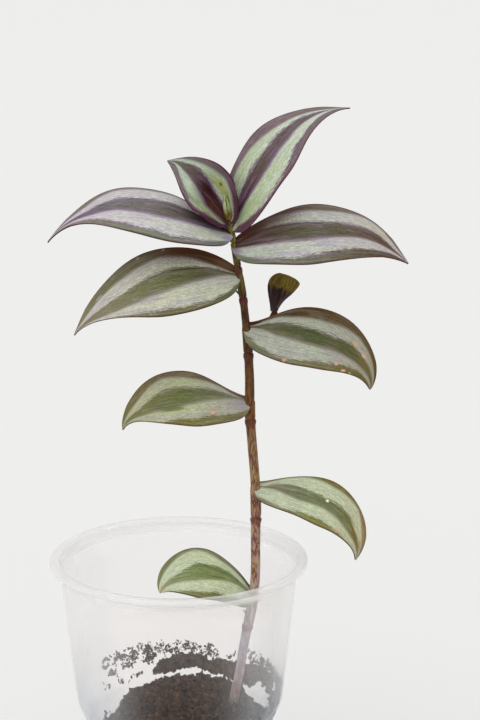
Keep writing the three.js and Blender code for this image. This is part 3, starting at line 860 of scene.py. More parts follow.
@dataclass
class DrinkingCup:
    """The clear cup: a rolled rim, a straight taper, a shoulder and a narrower foot."""

    height: float = 130.8
    rim_radius: float = 47.5
    rim_depth: float = 2.6
    lip_radius: float = 44.4
    lip_depth: float = 4.2
    taper_radius: float = 43.8
    shoulder_top: float = 78.0
    shoulder_top_radius: float = 38.6
    shoulder_foot: float = 66.5
    shoulder_foot_radius: float = 35.1
    base_radius: float = 31.0
    base_edge: float = 1.6
    wall: float = 0.5
    sides: int = 160
    steps: tuple[int, int, int] = (6, 12, 6)  # up the foot, the shoulder and the taper
    finish: ClearPolypropylene = field(default_factory=ClearPolypropylene)

    def outside(self, height: float) -> float:
        """Gives the outside radius of the wall under the lip.

        Args:
            height: the height in millimetres.

        Returns:
            The radius.
        """
        if height >= self.shoulder_top:
            top = self.height - self.lip_depth
            share = (height - self.shoulder_top) / (top - self.shoulder_top)
            return lerp(self.shoulder_top_radius, self.taper_radius, share)
        if height >= self.shoulder_foot:
            share = smoothstep(height, self.shoulder_foot, self.shoulder_top)
            return lerp(self.shoulder_foot_radius, self.shoulder_top_radius, share)
        return lerp(self.base_radius, self.shoulder_foot_radius, height / self.shoulder_foot)

    def inside(self, height: float) -> float:
        """Returns the inside radius of the wall at a height."""
        return self.outside(height) - self.wall

    def _wall_rings(self, inset: float) -> list[tuple[float, float]]:
        """Lays rings up the wall.

        Args:
            inset: how far they are moved in from its outside.

        Returns:
            Their radii and heights.
        """
        round_edge = self.base_edge - inset * 0.5
        rings = []
        for degrees in (0, 22.5, 45, 67.5, 90):
            turn = math.radians(degrees)
            radius = self.outside(self.base_edge) - inset - round_edge * (1 - math.sin(turn))
            rings.append((radius, inset + round_edge * (1 - math.cos(turn))))
        corners = (4.0, self.shoulder_foot, self.shoulder_top, self.height - self.lip_depth)
        heights = [
            lerp(low, high, step / count)
            for low, high, count in zip(corners, corners[1:], self.steps) for step in range(count)
        ]
        heights.append(corners[-1])
        return rings + [(self.outside(height) - inset, height) for height in heights]

    def _profile(self) -> list[tuple[float, float]]:
        """Draws the section, from the underside to the inner floor.

        Returns:
            Its rings' radii and heights.
        """
        lip_foot = self.height - self.lip_depth + 0.5
        lip_inside = self.lip_radius - self.wall
        half = (self.rim_radius - self.lip_radius) / 2
        roll = []
        for step in range(15):
            turn = math.radians(lerp(-90, 90, step / 14))
            height = self.height + self.rim_depth / 2 * (math.sin(turn) - 1)
            roll.append((self.rim_radius - half + half * math.cos(turn), height))
        return [
            (self.base_radius - 2.2 * self.base_edge, 0.0),
            *self._wall_rings(0.0),
            (self.lip_radius - 0.15, lip_foot),
            (self.lip_radius, lip_foot + 0.4),
            (self.lip_radius, self.height - self.rim_depth - 0.1),
            *roll,
            (lip_inside + 0.45, self.height - 0.15),
            (lip_inside + 0.05, self.height - 0.6),
            (lip_inside, self.height - 1.2),
            (lip_inside, lip_foot + 0.4),
            (lip_inside - 0.15, lip_foot),
            *reversed(self._wall_rings(self.wall)),
            (self.base_radius - 2.4 * self.base_edge - self.wall, self.wall),
        ]

    def build(self) -> Piece:
        """Extrudes the cup's wall ring by ring from a circle.

        Returns:
            The mesh object.
        """
        (radius, height), *rings = self._profile()
        activate()
        bpy.ops.mesh.primitive_circle_add(
            vertices=self.sides, radius=radius * MM, fill_type="NOTHING", location=(0, 0, height * MM)
        )
        cup = bpy.context.object
        cup.name = cup.data.name = "clear_cup"
        bpy.ops.object.transform_apply(location=True)
        bpy.ops.object.mode_set(mode="EDIT")
        bpy.ops.mesh.select_mode(type="EDGE")
        bpy.ops.mesh.select_all(action="SELECT")
        for new_radius, new_height in rings:
            rise = (0, 0, (new_height - height) * MM)
            bpy.ops.mesh.extrude_region_move(TRANSFORM_OT_translate={"value": rise})
            grow = new_radius / radius
            bpy.ops.transform.resize(value=(grow, grow, 1))
            radius, height = new_radius, new_height
        bpy.ops.mesh.edge_face_add()
        bpy.ops.mesh.select_all(action="DESELECT")
        bpy.ops.mesh.select_non_manifold()
        bpy.ops.mesh.edge_face_add()
        bpy.ops.mesh.select_all(action="SELECT")
        bpy.ops.mesh.normals_make_consistent(inside=False)
        bpy.ops.object.mode_set(mode="OBJECT")
        return smooth(cup, 50)

    def dress(self, cup: Piece) -> None:
        """Gives the cup its plastic and ties it to the frame."""
        hand_in(cup, "clear_plastic", "cup", self.finish.make())


# ---- Soil ---------------------------------------------------------------------------------


def crumb_heap(name: str, places: Iterable[tuple[Vector, float]], seed: int) -> Piece:
    """Makes a loose heap of angular crumbs as one mesh.

    Args:
        name: the piece's name.
        places: the centre and the radius of each crumb, in millimetres.
        seed: seeds the crumbs' shapes.

    Returns:
        The mesh object.
    """
    draw = random.Random(seed)
    activate()
    bpy.ops.mesh.primitive_ico_sphere_add(subdivisions=1, radius=1.0)
    model = bpy.context.object
    corners = [vertex.co.copy() for vertex in model.data.vertices]
    polygons = [tuple(polygon.vertices) for polygon in model.data.polygons]
    bpy.ops.object.delete()
    vertices: list[Vector] = []
    shapes: list[tuple[int, ...]] = []
    for centre, radius in places:
        stretch = Vector((draw.uniform(0.5, 1.7), draw.uniform(0.5, 1.3), draw.uniform(0.4, 1.1)))
        spin = Euler([draw.uniform(0, math.tau) for _ in range(3)]).to_matrix()
        shapes += [tuple(len(vertices) + index for index in polygon) for polygon in polygons]
        for corner in corners:
            dent = draw.uniform(0.45, 1.2)
            vertices.append((centre + spin @ (corner * stretch) * (radius * dent)) * MM)
    mesh = bpy.data.meshes.new(name)
    mesh.from_pydata(vertices, [], shapes)
    heap = bpy.data.objects.new(name, mesh)
    bpy.context.scene.collection.objects.link(heap)
    return heap


@dataclass
class PottingSoil:
    """The soil that fills the foot of the cup, mounded towards the middle."""

    cup: DrinkingCup
    level: float = 68.7
    mound: float = 4.2
    # How deep the soil sinks at the left, is broken away beyond that and sinks at the right, and
    # between which distances from the middle it does so.
    slump: tuple[float, float, float] = (4.5, -5.5, 27.7)
    cliff: tuple[float, float, float] = (6.8, 21.0, 29.3)
    right_slump: tuple[float, float, float] = (4.1, 21.0, 25.0)
    clod: float = 0.8
    clod_spacing: float = 3.4
    roughness: float = 0.8
    clearance: float = 0.3
    rings: int = 120
    side_rings: int = 12  # of them, those up the side
    sides: int = 180
    crumbs: int = 4200
    strewn: float = 33.0  # the radius that they cover
    stem_foot: tuple[float, float] = (19.2, 0.0)  # where the cutting goes in
    pressed: int = 90  # crumbs pressed round it
    pressed_reach: tuple[float, float] = (1.2, 4.2)  # how far from it they lie
    finish: DampPeat = field(default_factory=DampPeat)

    def height_at(self, x: float, y: float) -> float:
        """Gives the height of the surface, without its fine crumbs.

        Args:
            x: to the right, in millimetres.
            y: away from the camera.

        Returns:
            The height.
        """
        reach = min(1.0, math.hypot(x, y) / self.cup.shoulder_foot_radius)
        mound = self.mound * (1 - reach**2)
        sunk = sum(
            depth * smoothstep(out, start, end)
            for out, (depth, start, end) in (
                (-x - 0.06 * y, self.slump), (-x + 0.1 * y, self.cliff), (x - 0.07 * y, self.right_slump)
            )
        )
        scale = self.clod_spacing
        broad = math.sin(x / scale + 1.7) * math.cos(y / scale - 0.4)
        middling = math.sin((x - y) / (scale * 0.61) + 0.9)
        fine = math.cos((x + 1.3 * y) / (scale * 0.37) - 2.2)
        lumps = self.clod * (broad + 0.6 * middling + 0.4 * fine) / 2
        return self.level + mound - sunk + lumps

    def _place(self, along: float, across: float) -> Vector:
        """Gives a place on the body of soil.

        Args:
            along: 0 at the middle of its underside, 1 at the middle of its top.
            across: the share of the way round it.

        Returns:
            The place.
        """
        turn = math.tau * across
        ring = round(along * self.rings)
        floor = self.cup.wall + self.clearance
        edge, top = self.cup.base_edge + floor, self.level - self.slump[0] - self.cliff[0]
        if ring == 0:
            return Vector((0, 0, floor))
        if ring <= self.side_rings:
            height = lerp(edge, top, (ring - 1) / (self.side_rings - 1))
            radius = self.cup.inside(height) - self.clearance
            if ring == 1:
                radius, height = radius - self.cup.base_edge, floor
            return Vector((radius * math.cos(turn), radius * math.sin(turn), height))
        share = (ring - self.side_rings) / (self.rings - self.side_rings)
        radius = (self.cup.inside(top) - self.clearance) * (1 - share)
        x, y = radius * math.cos(turn), radius * math.sin(turn)
        rough = noise.fractal(Vector((x, y, 3.0)) / 1.7, 0.6, 2.1, 5) * self.roughness
        return Vector((x, y, self.height_at(x, y) + rough))

    def build(self) -> Piece:
        """Shapes the body of soil and strews it with crumbs.

        Returns:
            The mesh object.
        """
        soil = smooth(shaped_grid("potting_soil", self.rings, self.sides, self._place, closed=True), 35)
        draw = random.Random(41)
        places = []
        for _ in range(self.crumbs):
            reach = self.strewn * math.sqrt(draw.random())
            turn = draw.uniform(0, math.tau)
            x, y = reach * math.cos(turn), reach * math.sin(turn)
            size = 0.3 + 1.4 * draw.random() ** 3
            places.append((Vector((x, y, self.height_at(x, y) + 0.5 * size)), size))
        for _ in range(self.pressed):
            turn, reach = draw.uniform(0, math.tau), draw.uniform(*self.pressed_reach)
            x, y = self.stem_foot[0] + reach * math.cos(turn), self.stem_foot[1] + reach * math.sin(turn)
            size = draw.uniform(0.4, 1.0)
            rise = 0.9 * (1 - reach / self.pressed_reach[1])
            places.append((Vector((x, y, self.height_at(x, y) + rise + 0.4 * size)), size))
        return join(soil, crumb_heap("soil_crumbs", places, 42))

    def dress(self, soil: Piece) -> None:
        """Gives the soil its finish and ties it to the frame."""
        hand_in(soil, "potting_soil", "soil", self.finish.make())


@dataclass(frozen=True)
class CrumbPatch:
    """A ragged patch of crumbs on the inside of the wall."""

    turn: float  # degrees, 0 at the right and 90 at the back
    height: float
    turn_spread: float
    height_spread: float
    cover: float = 0.6  # how much of the wall it hides
    size: float = 0.42  # a crumb's radius in millimetres


@dataclass
class WallCrust:
    """Soil that clings to the cup: a thick crust on the shoulder and crumbs above it."""

    cup: DrinkingCup
    thickness: float = 1.5
    clearance: float = 0.3
    ragged: float = 0.8  # how far the crust's edges stray
    rows: float = 2.2  # faces to a degree
    crumbs: int = 10  # to a degree of a clump
    packed: float = 1.05  # crumbs to a square as wide as a crumb's radius, at a cover of 1
    step: float = 1.3  # from one crumb of a chain to the next, in their own radii
    # The crust's clumps: for each, places round the cup in degrees, with its foot and its top.
    clumps: tuple[tuple[Place, ...], ...] = (
        (
            (109, 70.7, 71.3), (106, 70.6, 73), (103, 70.5, 74.8), (97, 70.7, 74.8), (96, 70.8, 76.3),
            (91, 71.7, 76.8), (89, 72.3, 75.8), (86, 72.6, 76.4), (81, 72.6, 76.8), (77, 72, 76),
            (75, 71.6, 74.8), (71, 71, 74.4), (69, 71.1, 75.2), (67, 71.2, 76), (62, 71.4, 75.2),
            (58, 70, 75.6), (55, 69.7, 76), (48, 70.4, 76), (42, 69.6, 77), (37, 71.2, 77.2),
            (33, 73.6, 77), (27, 73.4, 77.2), (22, 72.2, 76), (18, 71.6, 74),
        ),
        ((13, 71, 72), (9, 70, 76.5), (3, 69.8, 77), (-1, 71, 73)),
        ((-5, 72, 73), (-9, 70, 76.8), (-17, 70.2, 77.2), (-22, 72, 76), (-25, 73, 74)),
        ((-30, 71, 72), (-34, 69.8, 76), (-42, 70.4, 77), (-50, 71, 73)),
    )
    patches: tuple[CrumbPatch, ...] = tuple(
        CrumbPatch(*row)
        for row in (
            (130, 78.8, 4.5, 1.1, 1.3, 0.5), (142, 80.4, 2, 0.6, 0.9), (140, 79.6, 1.5, 0.5),
            (142, 77.2, 2.5, 0.8, 1.1), (138, 74, 2.7, 1.1, 1.2, 0.5), (133, 70.8, 2.4, 0.8, 0.8),
            (135, 75.6, 1.2, 0.5, 0.7), (126, 74.8, 3, 1.2, 0.7), (122, 71.2, 3.6, 0.7, 0.8),
            (121, 77.6, 3.6, 3, 0.75), (111, 77.4, 4, 3.4, 1.0), (110, 80.8, 2.5, 0.8),
            (116, 80.8, 2, 0.6), (126, 70, 0.6, 0.3, 0.8), (101, 78.8, 4.8, 2.2, 0.45),
            (94, 78.6, 3, 1.2, 0.4), (86, 79.2, 5, 1.6, 0.5), (75, 79.2, 5, 1.8, 0.7),
            (71, 77.6, 2.5, 1, 0.7), (61, 77.8, 2, 0.8, 0.6), (80, 80.4, 16, 1.2, 0.12, 0.3),
            (54, 79, 6, 1.4, 0.25, 0.36), (44, 79, 4, 1.6, 0.5), (36, 80, 4, 1.8, 0.6),
            (28, 79.6, 4, 2.2, 0.65), (20, 77.4, 4, 2.6, 0.55), (10, 77.8, 5, 2.8, 0.55),
            (0, 78.4, 5, 3.2, 0.5), (-12, 78, 5, 2.8, 0.45), (-26, 77, 6, 2.6, 0.4),
            (-42, 75.6, 6, 2.4, 0.4), (149, 60.2, 4, 0.6, 0.8), (146, 71, 5, 1.6, 0.12),
            (14, 71, 6, 2.2, 0.3), (26, 72.4, 4, 1.4, 0.35), (104, 81.4, 24, 1.3, 0.16, 0.27),
            (128, 78.4, 13, 3, 0.16, 0.3), (36, 80.4, 20, 2.2, 0.16, 0.28), (98, 79.4, 16, 1.6, 0.2, 0.32),
        )
    )

    def on_wall(self, turn: float, height: float, inset: float) -> Vector:
        """Gives a place inside the wall.

        Args:
            turn: the angle in radians.
            height: the height.
            inset: the distance in from the wall's clearance.

        Returns:
            The place.
        """
        radius = self.cup.inside(height) - self.clearance - inset
        return Vector((radius * math.cos(turn), radius * math.sin(turn), height))

    def build(self) -> Piece:
        """Packs the crust and the crumbs.

        Returns:
            The mesh object.
        """
        draw = random.Random(7)
        places = [crumb for patch in self.patches for crumb in self._strewn(patch, draw)]
        parts = []
        for index, clump in enumerate(self.clumps):
            parts.append(self._clump(f"crust_{index}", clump))
            for _ in range(round(self.crumbs * abs(clump[0][0] - clump[-1][0]))):
                turn, foot, top = self._between(clump, draw.random())
                size = 0.3 + 0.8 * draw.random() ** 2
                height = draw.choice((foot + 0.2, top + 0.2, draw.uniform(foot, top)))
                height += draw.gauss(0, 0.35)
                places.append((self.on_wall(turn, height, 0.6 * size), size))
        return join(*parts, crumb_heap("crust_crumbs", places, 8))

    @staticmethod
    def _between(clump: Sequence[Place], share: float) -> Place:
        """Gives a clump's edges at one place round the cup.

        Args:
            clump: the clump's places.
            share: 0 at its first place and 1 at its last.

        Returns:
            The turn in radians, the foot and the top.
        """
        turn = lerp(clump[0][0], clump[-1][0], share)
        for before, after in zip(clump, clump[1:]):
            if after[0] <= turn:
                part = (turn - before[0]) / (after[0] - before[0])
                return math.radians(turn), lerp(before[1], after[1], part), lerp(before[2], after[2], part)
        return math.radians(turn), clump[-1][1], clump[-1][2]

    def _clump(self, name: str, clump: Sequence[Place]) -> Piece:
        """Shapes one clump of the crust.

        Args:
            name: its name.
            clump: its places.

        Returns:
            The mesh object.
        """

        def place(along: float, across: float) -> Vector:
            """Returns the place on the clump's skin, which starts and ends against the wall."""
            turn, foot, top = self._between(clump, along)
            fade = min(1.0, 8 * (along + 0.02), 8 * (1 - along + 0.02))
            share = abs(1 - 2 * across)
            height = lerp(foot, top, share)
            for seed, weight in ((2.0, share**2), (9.0, (1 - share) ** 2)):
                stray = noise.fractal(Vector((turn * 34, seed, 0)), 0.6, 2.1, 4)
                height += self.ragged * stray * weight
            if across < 0.5:
                return self.on_wall(turn, height, -0.1)
            lump = 1 + 0.35 * math.sin(9 * turn) + 0.2 * math.sin(23 * turn + 1)
            swell = math.sin(math.pi * min(0.98, share + 0.02)) ** 0.6
            rough = 0.35 * noise.fractal(Vector((turn * 38, height / 1.1, 5.0)), 0.7, 2.1, 3)
            return self.on_wall(turn, height, max(0.05, self.thickness * fade * lump * swell + rough))

        steps = max(24, round(self.rows * abs(clump[0][0] - clump[-1][0])))
        return shaped_grid(name, steps, 16, place, closed=True)

    def _strewn(self, patch: CrumbPatch, draw: random.Random) -> list[tuple[Vector, float]]:
        """Strews a patch's crumbs in short chains, which leave it ragged.

        Args:
            patch: the patch.
            draw: draws the random numbers.

        Returns:
            The middle and the radius of each crumb.
        """
        radius = self.cup.inside(patch.height)
        wide = math.radians(patch.turn_spread) * radius
        area = math.pi * wide * patch.height_spread
        count = round(patch.cover * self.packed * area / patch.size**2) + 1
        crumbs = []
        left = 0
        for _ in range(count):
            if left == 0:
                left = draw.randint(1, 6)
                reach, way = math.sqrt(draw.random()), draw.uniform(0, math.tau)
                out, up = reach * wide * math.cos(way), reach * patch.height_spread * math.sin(way)
            left -= 1
            size = patch.size * draw.uniform(0.5, 1.5)
            turn = math.radians(patch.turn) + out / radius
            crumbs.append((self.on_wall(turn, patch.height + up, 0.5 * size), size))
            way = draw.uniform(0, math.tau)
            out += self.step * size * math.cos(way)
            up += self.step * size * math.sin(way)
        return crumbs

    def dress(self, crust: Piece, peat: Material) -> None:
        """Gives the crust the soil's finish and ties it to the frame."""
        hand_in(crust, "potting_soil", "soil_crust", peat)


# ---- Stem ---------------------------------------------------------------------------------


@dataclass(frozen=True)
class Strand:
    """A root or a bud: where it leaves the stem, its heading in plan and its length."""

    height: float
    heading: float
    length: float


@dataclass
class Stem:
    """The main stem with its nodes, root buds, roots and side shoot."""

    nodes: tuple[tuple[float, float], ...]  # the foot and the mouth of each sheath
    points: tuple[Place, ...] = (
        (13.6, 2, 38), (19.1, 0, 69), (22.1, -1, 84), (24.4, -2, 99), (27, -3, 113),
        (28.1, -4, 124), (28.2, -4.4, 138), (28.3, -4.6, 150), (28, -4.8, 161), (27, -5, 174),
        (26.1, -5, 186), (25.9, -4.8, 200), (25.1, -4.4, 214), (23.4, -4, 230),
        (21.2, -3.5, 243), (19.8, -3.2, 251), (18.8, -3, 256.6),
    )
    shoot_points: tuple[Place, ...] = (
        (25.2, -4.3, 210.5), (27.2, -1.6, 212), (30.6, 2.4, 215), (33.8, 5.6, 218.8), (35.8, 7.2, 222.6),
    )
    roots: tuple[Strand, ...] = (
        Strand(42, 20, 13), Strand(43, 140, 26), Strand(47, 255, 20), Strand(50, 80, 17),
        Strand(53, 320, 15),
    )
    buds: tuple[Strand, ...] = (Strand(108.5, 175, 2.6), Strand(229.6, 180, 2.4))
    radius: float = 1.72
    taper_from: float = 195.0
    tip_radius: float = 0.95
    node_swell: float = 1.22
    node_height: float = 2.6
    sheath_proud: float = 1.14
    slimmer: float = 0.75  # the stem inside a sheath
    ribs: float = 0.035
    shoot_radius: float = 0.6
    shoot_sheath: float = 1.15
    finish: StemSkin = field(default_factory=StemSkin)

    def __post_init__(self) -> None:
        """Lays the lines."""
        self.line = Line(self.points)
        self.shoot_line = Line(self.shoot_points)

    def plain_radius(self, height: float) -> float:
        """Returns the stem's radius at a height between its nodes."""
        share = (height - self.taper_from) / (self.points[-1][2] - self.taper_from)
        return lerp(self.radius, self.tip_radius, max(0.0, share))

    def sheath_radius(self, height: float) -> float:
        """Returns the outside radius of a sheath round the stem at a height."""
        return self.sheath_proud * self.plain_radius(height)

    def radius_at(self, height: float) -> float:
        """Gives the main stem's radius.

        Args:
            height: the height in millimetres.

        Returns:
            The radius: swollen in a ring under each sheath and slimmer inside it.
        """
        radius = plain = self.plain_radius(height)
        for foot, mouth in self.nodes:
            if foot - 0.2 <= height <= mouth - 0.6:
                return self.slimmer * plain
            middle = foot - 0.45 * self.node_height
            bulge = math.exp(-(((height - middle) / (0.42 * self.node_height)) ** 2))
            radius = max(radius, plain * lerp(1, self.node_swell, bulge))
        return radius

    def _ribbed(self, share: float, turn: float) -> float:
        """Gives the main stem's radius with its faint ribs.

        Args:
            share: the share of its line.
            turn: the turn round it in radians.

        Returns:
            The radius.
        """
        height = self.line.at(share).z
        round_it = Vector((3 * math.cos(turn), 3 * math.sin(turn), height / 5))
        uneven = self.ribs * math.sin(7 * turn) + 0.03 * noise.noise(round_it)
        return self.radius_at(height) * (1 + uneven)

    def _strand(self, strand: Strand, slope: float, start: float, end: float) -> Piece:
        """Makes a root or a bud.

        Args:
            strand: its place on the stem.
            slope: how it rises for its length.
            start: its radius at the stem.
            end: its radius at the tip.

        Returns:
            The mesh object.
        """
        foot = self.line.at(self.line.share_at(strand.height))
        turn = math.radians(strand.heading)
        way = Vector((math.cos(turn), math.sin(turn), 0))
        bend = Vector((-math.sin(turn), math.cos(turn), 0))
        points = []
        for share in (0, 0.3, 0.65, 1):
            sway = 0.12 * strand.length * math.sin(4 * share) * math.cos(strand.height)
            point = foot + way * (strand.length * share) + bend * sway
            point.z = foot.z + slope * strand.length * share**1.3
            points.append(point)
        return tube("strand", Line(points), (0, 1), lambda share, _: lerp(start, end, share), 14, 8)

    def build(self) -> Piece:
        """Grows the stem and all that belongs to it.

        Returns:
            The mesh object.
        """
        stem = join(
            tube("stem", self.line, (0, 1), self._ribbed, 460, 24),
            tube("shoot", self.shoot_line, (0, 1), lambda *_: self.shoot_radius, 30, 14),
            *(self._strand(root, -0.7, 0.65, 0.25) for root in self.roots),
            *(self._strand(bud, 0.75, 0.8, 0.25) for bud in self.buds),
        )
        return smooth(stem, 60)

    def dress(self, stem: Piece) -> Material:
        """Gives the stem its skin and ties it to the frame.

        Args:
            stem: the mesh object.

        Returns:
            The skin, which the sheaths share.
        """
        skin = self.finish.make()
        hand_in(stem, "stem_skin", "stem", skin)
        return skin


# ---- Leaves -------------------------------------------------------------------------------


@dataclass(frozen=True)
class BladeShape:
    """What all blades share: how each half fills out from the root and narrows to the tip."""

    thickness: float = 0.5
    root_half_width: float = 2.3
    lobe_width: float = 1.2
    tip_half_width: float = 0.15
    far_swell: float = 1.3
    far_delay: float = 0.1
    far_taper: float = 1.35
    fold_kept: float = 0.35
    waves: float = 2.6  # along each margin
    rows: int = 84
    columns: int = 28


@dataclass
class Leaf:
    """One leaf: a blade that is carried on a sheath round the stem.

    Heights are on the stem and lengths in millimetres. Angles are in degrees.
    """

    name: str
    node: float  # the height of the sheath's foot
    root: float  # the height where the blade leaves the stem
    length: float
    width: float
    behind: float  # how far back the blade starts
    azimuth: float
    rise: float  # how steeply the blade leaves
    droop: float  # how far it bends down
    late: float  # how late it does
    hook: float  # how far its tip bends down besides
    lean: float  # how far its face is turned to the camera
    fold: float  # the gutter
    arch: float  # the bow of each half
    widest: float  # the share of its length where it is widest
    taper: float  # how it narrows to the tip
    oblique: float  # how much the far half differs from the near one
    face: LeafFace | None = None
    lobe: float = 1.0
    swell: float = 0.45  # how the near half fills out
    wave: float = 0.35  # how far the margins wave up and down, in millimetres
    roll: tuple[float, float] = (0.0, 0.0)  # radius of the near and far margins' roll at the root
    shape: BladeShape = field(default_factory=BladeShape)

    @property
    def side(self) -> float:
        """Returns 1 for a leaf to +X and -1 for one to -X."""
        return math.copysign(1, math.cos(math.radians(self.azimuth)))

    def _heading(self, along: float) -> Vector:
        """Gives the direction of the midrib.

        Args:
            along: the share of its length.

        Returns:
            The unit direction.
        """
        bend = self.droop * along**self.late + self.hook * along**10
        pitch, turn = math.radians(self.rise - bend), math.radians(self.azimuth)
        flat = math.cos(pitch)
        return Vector((flat * math.cos(turn), flat * math.sin(turn), math.sin(pitch)))

    def midrib(self, root: Vector) -> list[tuple[Vector, Vector, Vector]]:
        """Lays the midrib.

        Args:
            root: the point of the stem where the blade starts.

        Returns:
            For each row, the point, the way to the far margin and the way the face looks.
        """
        turn, lean = math.radians(self.azimuth), math.radians(self.lean)
        back = Vector((-math.sin(turn), math.cos(turn), 0)) * self.side
        point = root - self._heading(0) * self.behind
        rows = self.shape.rows
        frames = []
        for row in range(rows + 1):
            up = self._heading(row / rows).cross(back) * self.side
            far = back * math.cos(lean) + up * math.sin(lean)
            up = up * math.cos(lean) - back * math.sin(lean)
            frames.append((point.copy(), far, up))
            point += self._heading((row + 0.5) / rows) * (self.length / rows)
        return frames

    def half_width(self, along: float, is_far: bool) -> float:
        """Gives the width of one half of the blade.

        Args:
            along: the share of the blade's length.
            is_far: whether it is the half away from the camera.

        Returns:
            The width in millimetres.
        """
        shape = self.shape
        oblique = self.oblique if is_far else 0.0
        widest = self.widest + shape.far_delay * oblique
        root_power = lerp(self.swell, shape.far_swell, oblique)
        tip_power = self.taper * lerp(1, shape.far_taper, oblique)
        if along < widest:
            swell = math.sin(math.pi / 2 * along / widest) ** root_power
        else:
            swell = max(0.0, math.cos(math.pi / 2 * (along - widest) / (1 - widest))) ** tip_power
        extra = 0.0 if is_far else shape.lobe_width * self.lobe
        root = (shape.root_half_width + extra) * (1 - along) ** 6
        return self.width / 2 * swell + root + shape.tip_half_width

    def surface(self, frame: tuple[Vector, Vector, Vector], along: float, reach: float) -> Vector:
        """Gives a point of the blade's middle surface.

        Args:
            frame: the midrib's point, the way to the far margin and the way the face looks.
            along: the share of the blade's length.
            reach: -1 at the near margin, 0 at the midrib and 1 at the far margin.

        Returns:
            The point in millimetres.
        """
        point, far, up = frame
        half = self.half_width(along, reach > 0)
        fold = math.radians(self.fold) * (self.shape.fold_kept + (1 - along) ** 2)
        bow = self.arch * math.sin(math.pi * min(1.0, along + 0.15)) ** 0.5
        out = half * reach * math.cos(fold)
        lift = half * (abs(reach) * math.sin(fold) - bow * reach**2)
        start = 0.31 * (sum(map(ord, self.name)) % 7)  # each leaf's margins wave in their own way
        ripple = math.sin(math.tau * (self.shape.waves * along + start)) * math.sin(math.pi * along)
        lift += self.wave * ripple * abs(reach) ** 3 * (1 if reach > 0 else -0.8)
        lobe = self.lobe * (1 - along) ** 10 * math.sin(math.pi * abs(reach)) if reach < 0 else 0
        out, lift = self._rolled(along, reach, half, out, lift)
        return point + far * out + up * lift - self._heading(along) * lobe

    def _rolled(
        self, along: float, reach: float, half: float, out: float, lift: float
    ) -> tuple[float, float]:
        """Rolls the margins up and over the face near the root.

        Args:
            along: the share of the blade's length.
            reach: -1 at the near margin and 1 at the far one.
            half: the half blade's width.
            out: how far out the point lies.
            lift: how high it lies.

        Returns:
            Its place out and up with the roll, whose outer edge stays where the margin was.
        """
        radius = self.roll[reach > 0] * smoothstep(along, 0.36, 0.12)
        start = 1 - radius / half
        if radius < 0.02 or abs(reach) <= start:
            return out, lift
        length = 5.6 * radius * (abs(reach) - start) / (1 - start)
        turn = min(length / radius, math.radians(170))
        beyond = length - turn * radius
        rolled = abs(out) * start / abs(reach) + radius * math.sin(turn) - beyond
        height = radius * (1 - math.cos(turn)) + 0.17 * beyond
        return math.copysign(rolled, reach), lift + height

    def blade(self, root: Vector) -> Piece:
        """Shapes the blade.

        Args:
            root: the point of the stem where it starts.

        Returns:
            The mesh object, with u along the blade and v from the near margin to the far one.
        """
        frames, rows = self.midrib(root), self.shape.rows
        blade = shaped_grid(
            f"{self.name}_blade", rows, self.shape.columns,
            lambda along, across: self.surface(frames[round(along * rows)], along, 2 * across - 1),
        )
        if self.side < 0:
            edit(blade, bpy.ops.mesh.flip_normals)
        for _ in range(2):  # the upper face and the underside, which dress fills
            blade.data.materials.append(None)
        activate(blade)
        solid = blade.modifiers.new("solidify", "SOLIDIFY")
        solid.thickness, solid.offset = self.shape.thickness * MM, 0
        solid.material_offset = solid.material_offset_rim = 1
        bpy.ops.object.modifier_apply(modifier=solid.name)
        return blade

    def sheath(self, line: Line, reach: tuple[float, float], outer: Callable[[float], float]) -> Piece:
        """Wraps the sheath round the stem.

        Args:
            line: the line of the stem.
            reach: the shares of the line at its foot and its mouth.
            outer: gives its outside radius at a height.

        Returns:
            The mesh object.
        """
        rows = 26
        heights = [line.at(lerp(*reach, step / rows)).z for step in range(rows + 1)]

        def radius(share: float, turn: float) -> float:
            """Returns the radius: the mouth hugs the stem, and the foot grows out of the node."""
            up = (share - reach[0]) / (reach[1] - reach[0])
            closing = 0.25 * max(0.0, (up - 0.85) / 0.15) ** 2 + 0.08 * max(0.0, 1 - up / 0.14)
            return outer(heights[min(rows, round(rows * up))]) - closing + 0.03 * math.sin(11 * turn)

        return tube(f"{self.name}_sheath", line, reach, radius, rows, 28)

    def build(
        self, line: Line, outer: Callable[[float], float], by_height: bool = True
    ) -> tuple[Piece, Piece]:
        """Makes the blade and the sheath.

        Args:
            line: the line of the stem or the shoot.
            outer: gives the sheath's outside radius at a height.
            by_height: whether node and root are heights, or else shares of the line.

        Returns:
            The two mesh objects.
        """
        node, root = self.node, self.root
        if by_height:
            node, root = line.share_at(node), line.share_at(root)
        reach = (node + SHEATH_FOOT / line.length, root + SHEATH_MOUTH / line.length)
        return self.blade(line.at(root)), self.sheath(line, reach, outer)

    def dress(
        self, pieces: tuple[Piece, Piece], faces: tuple[Material, Material], skin: Material, slot: str
    ) -> None:
        """Gives the leaf its finishes, joins it and ties it to the frame.

        Args:
            pieces: the blade and the sheath.
            faces: the finishes of the upper face and of the underside.
            skin: the finish of the sheath.
            slot: the record's material slot.
        """
        blade, sheath = pieces
        for index, face in enumerate(faces):
            blade.data.materials[index] = face
        sheath.data.materials.append(skin)
        leaf = smooth(join(blade, sheath), 50)
        leaf.name = leaf.data.name = f"{self.name}_grown"
        hand_in(leaf, slot, self.name)


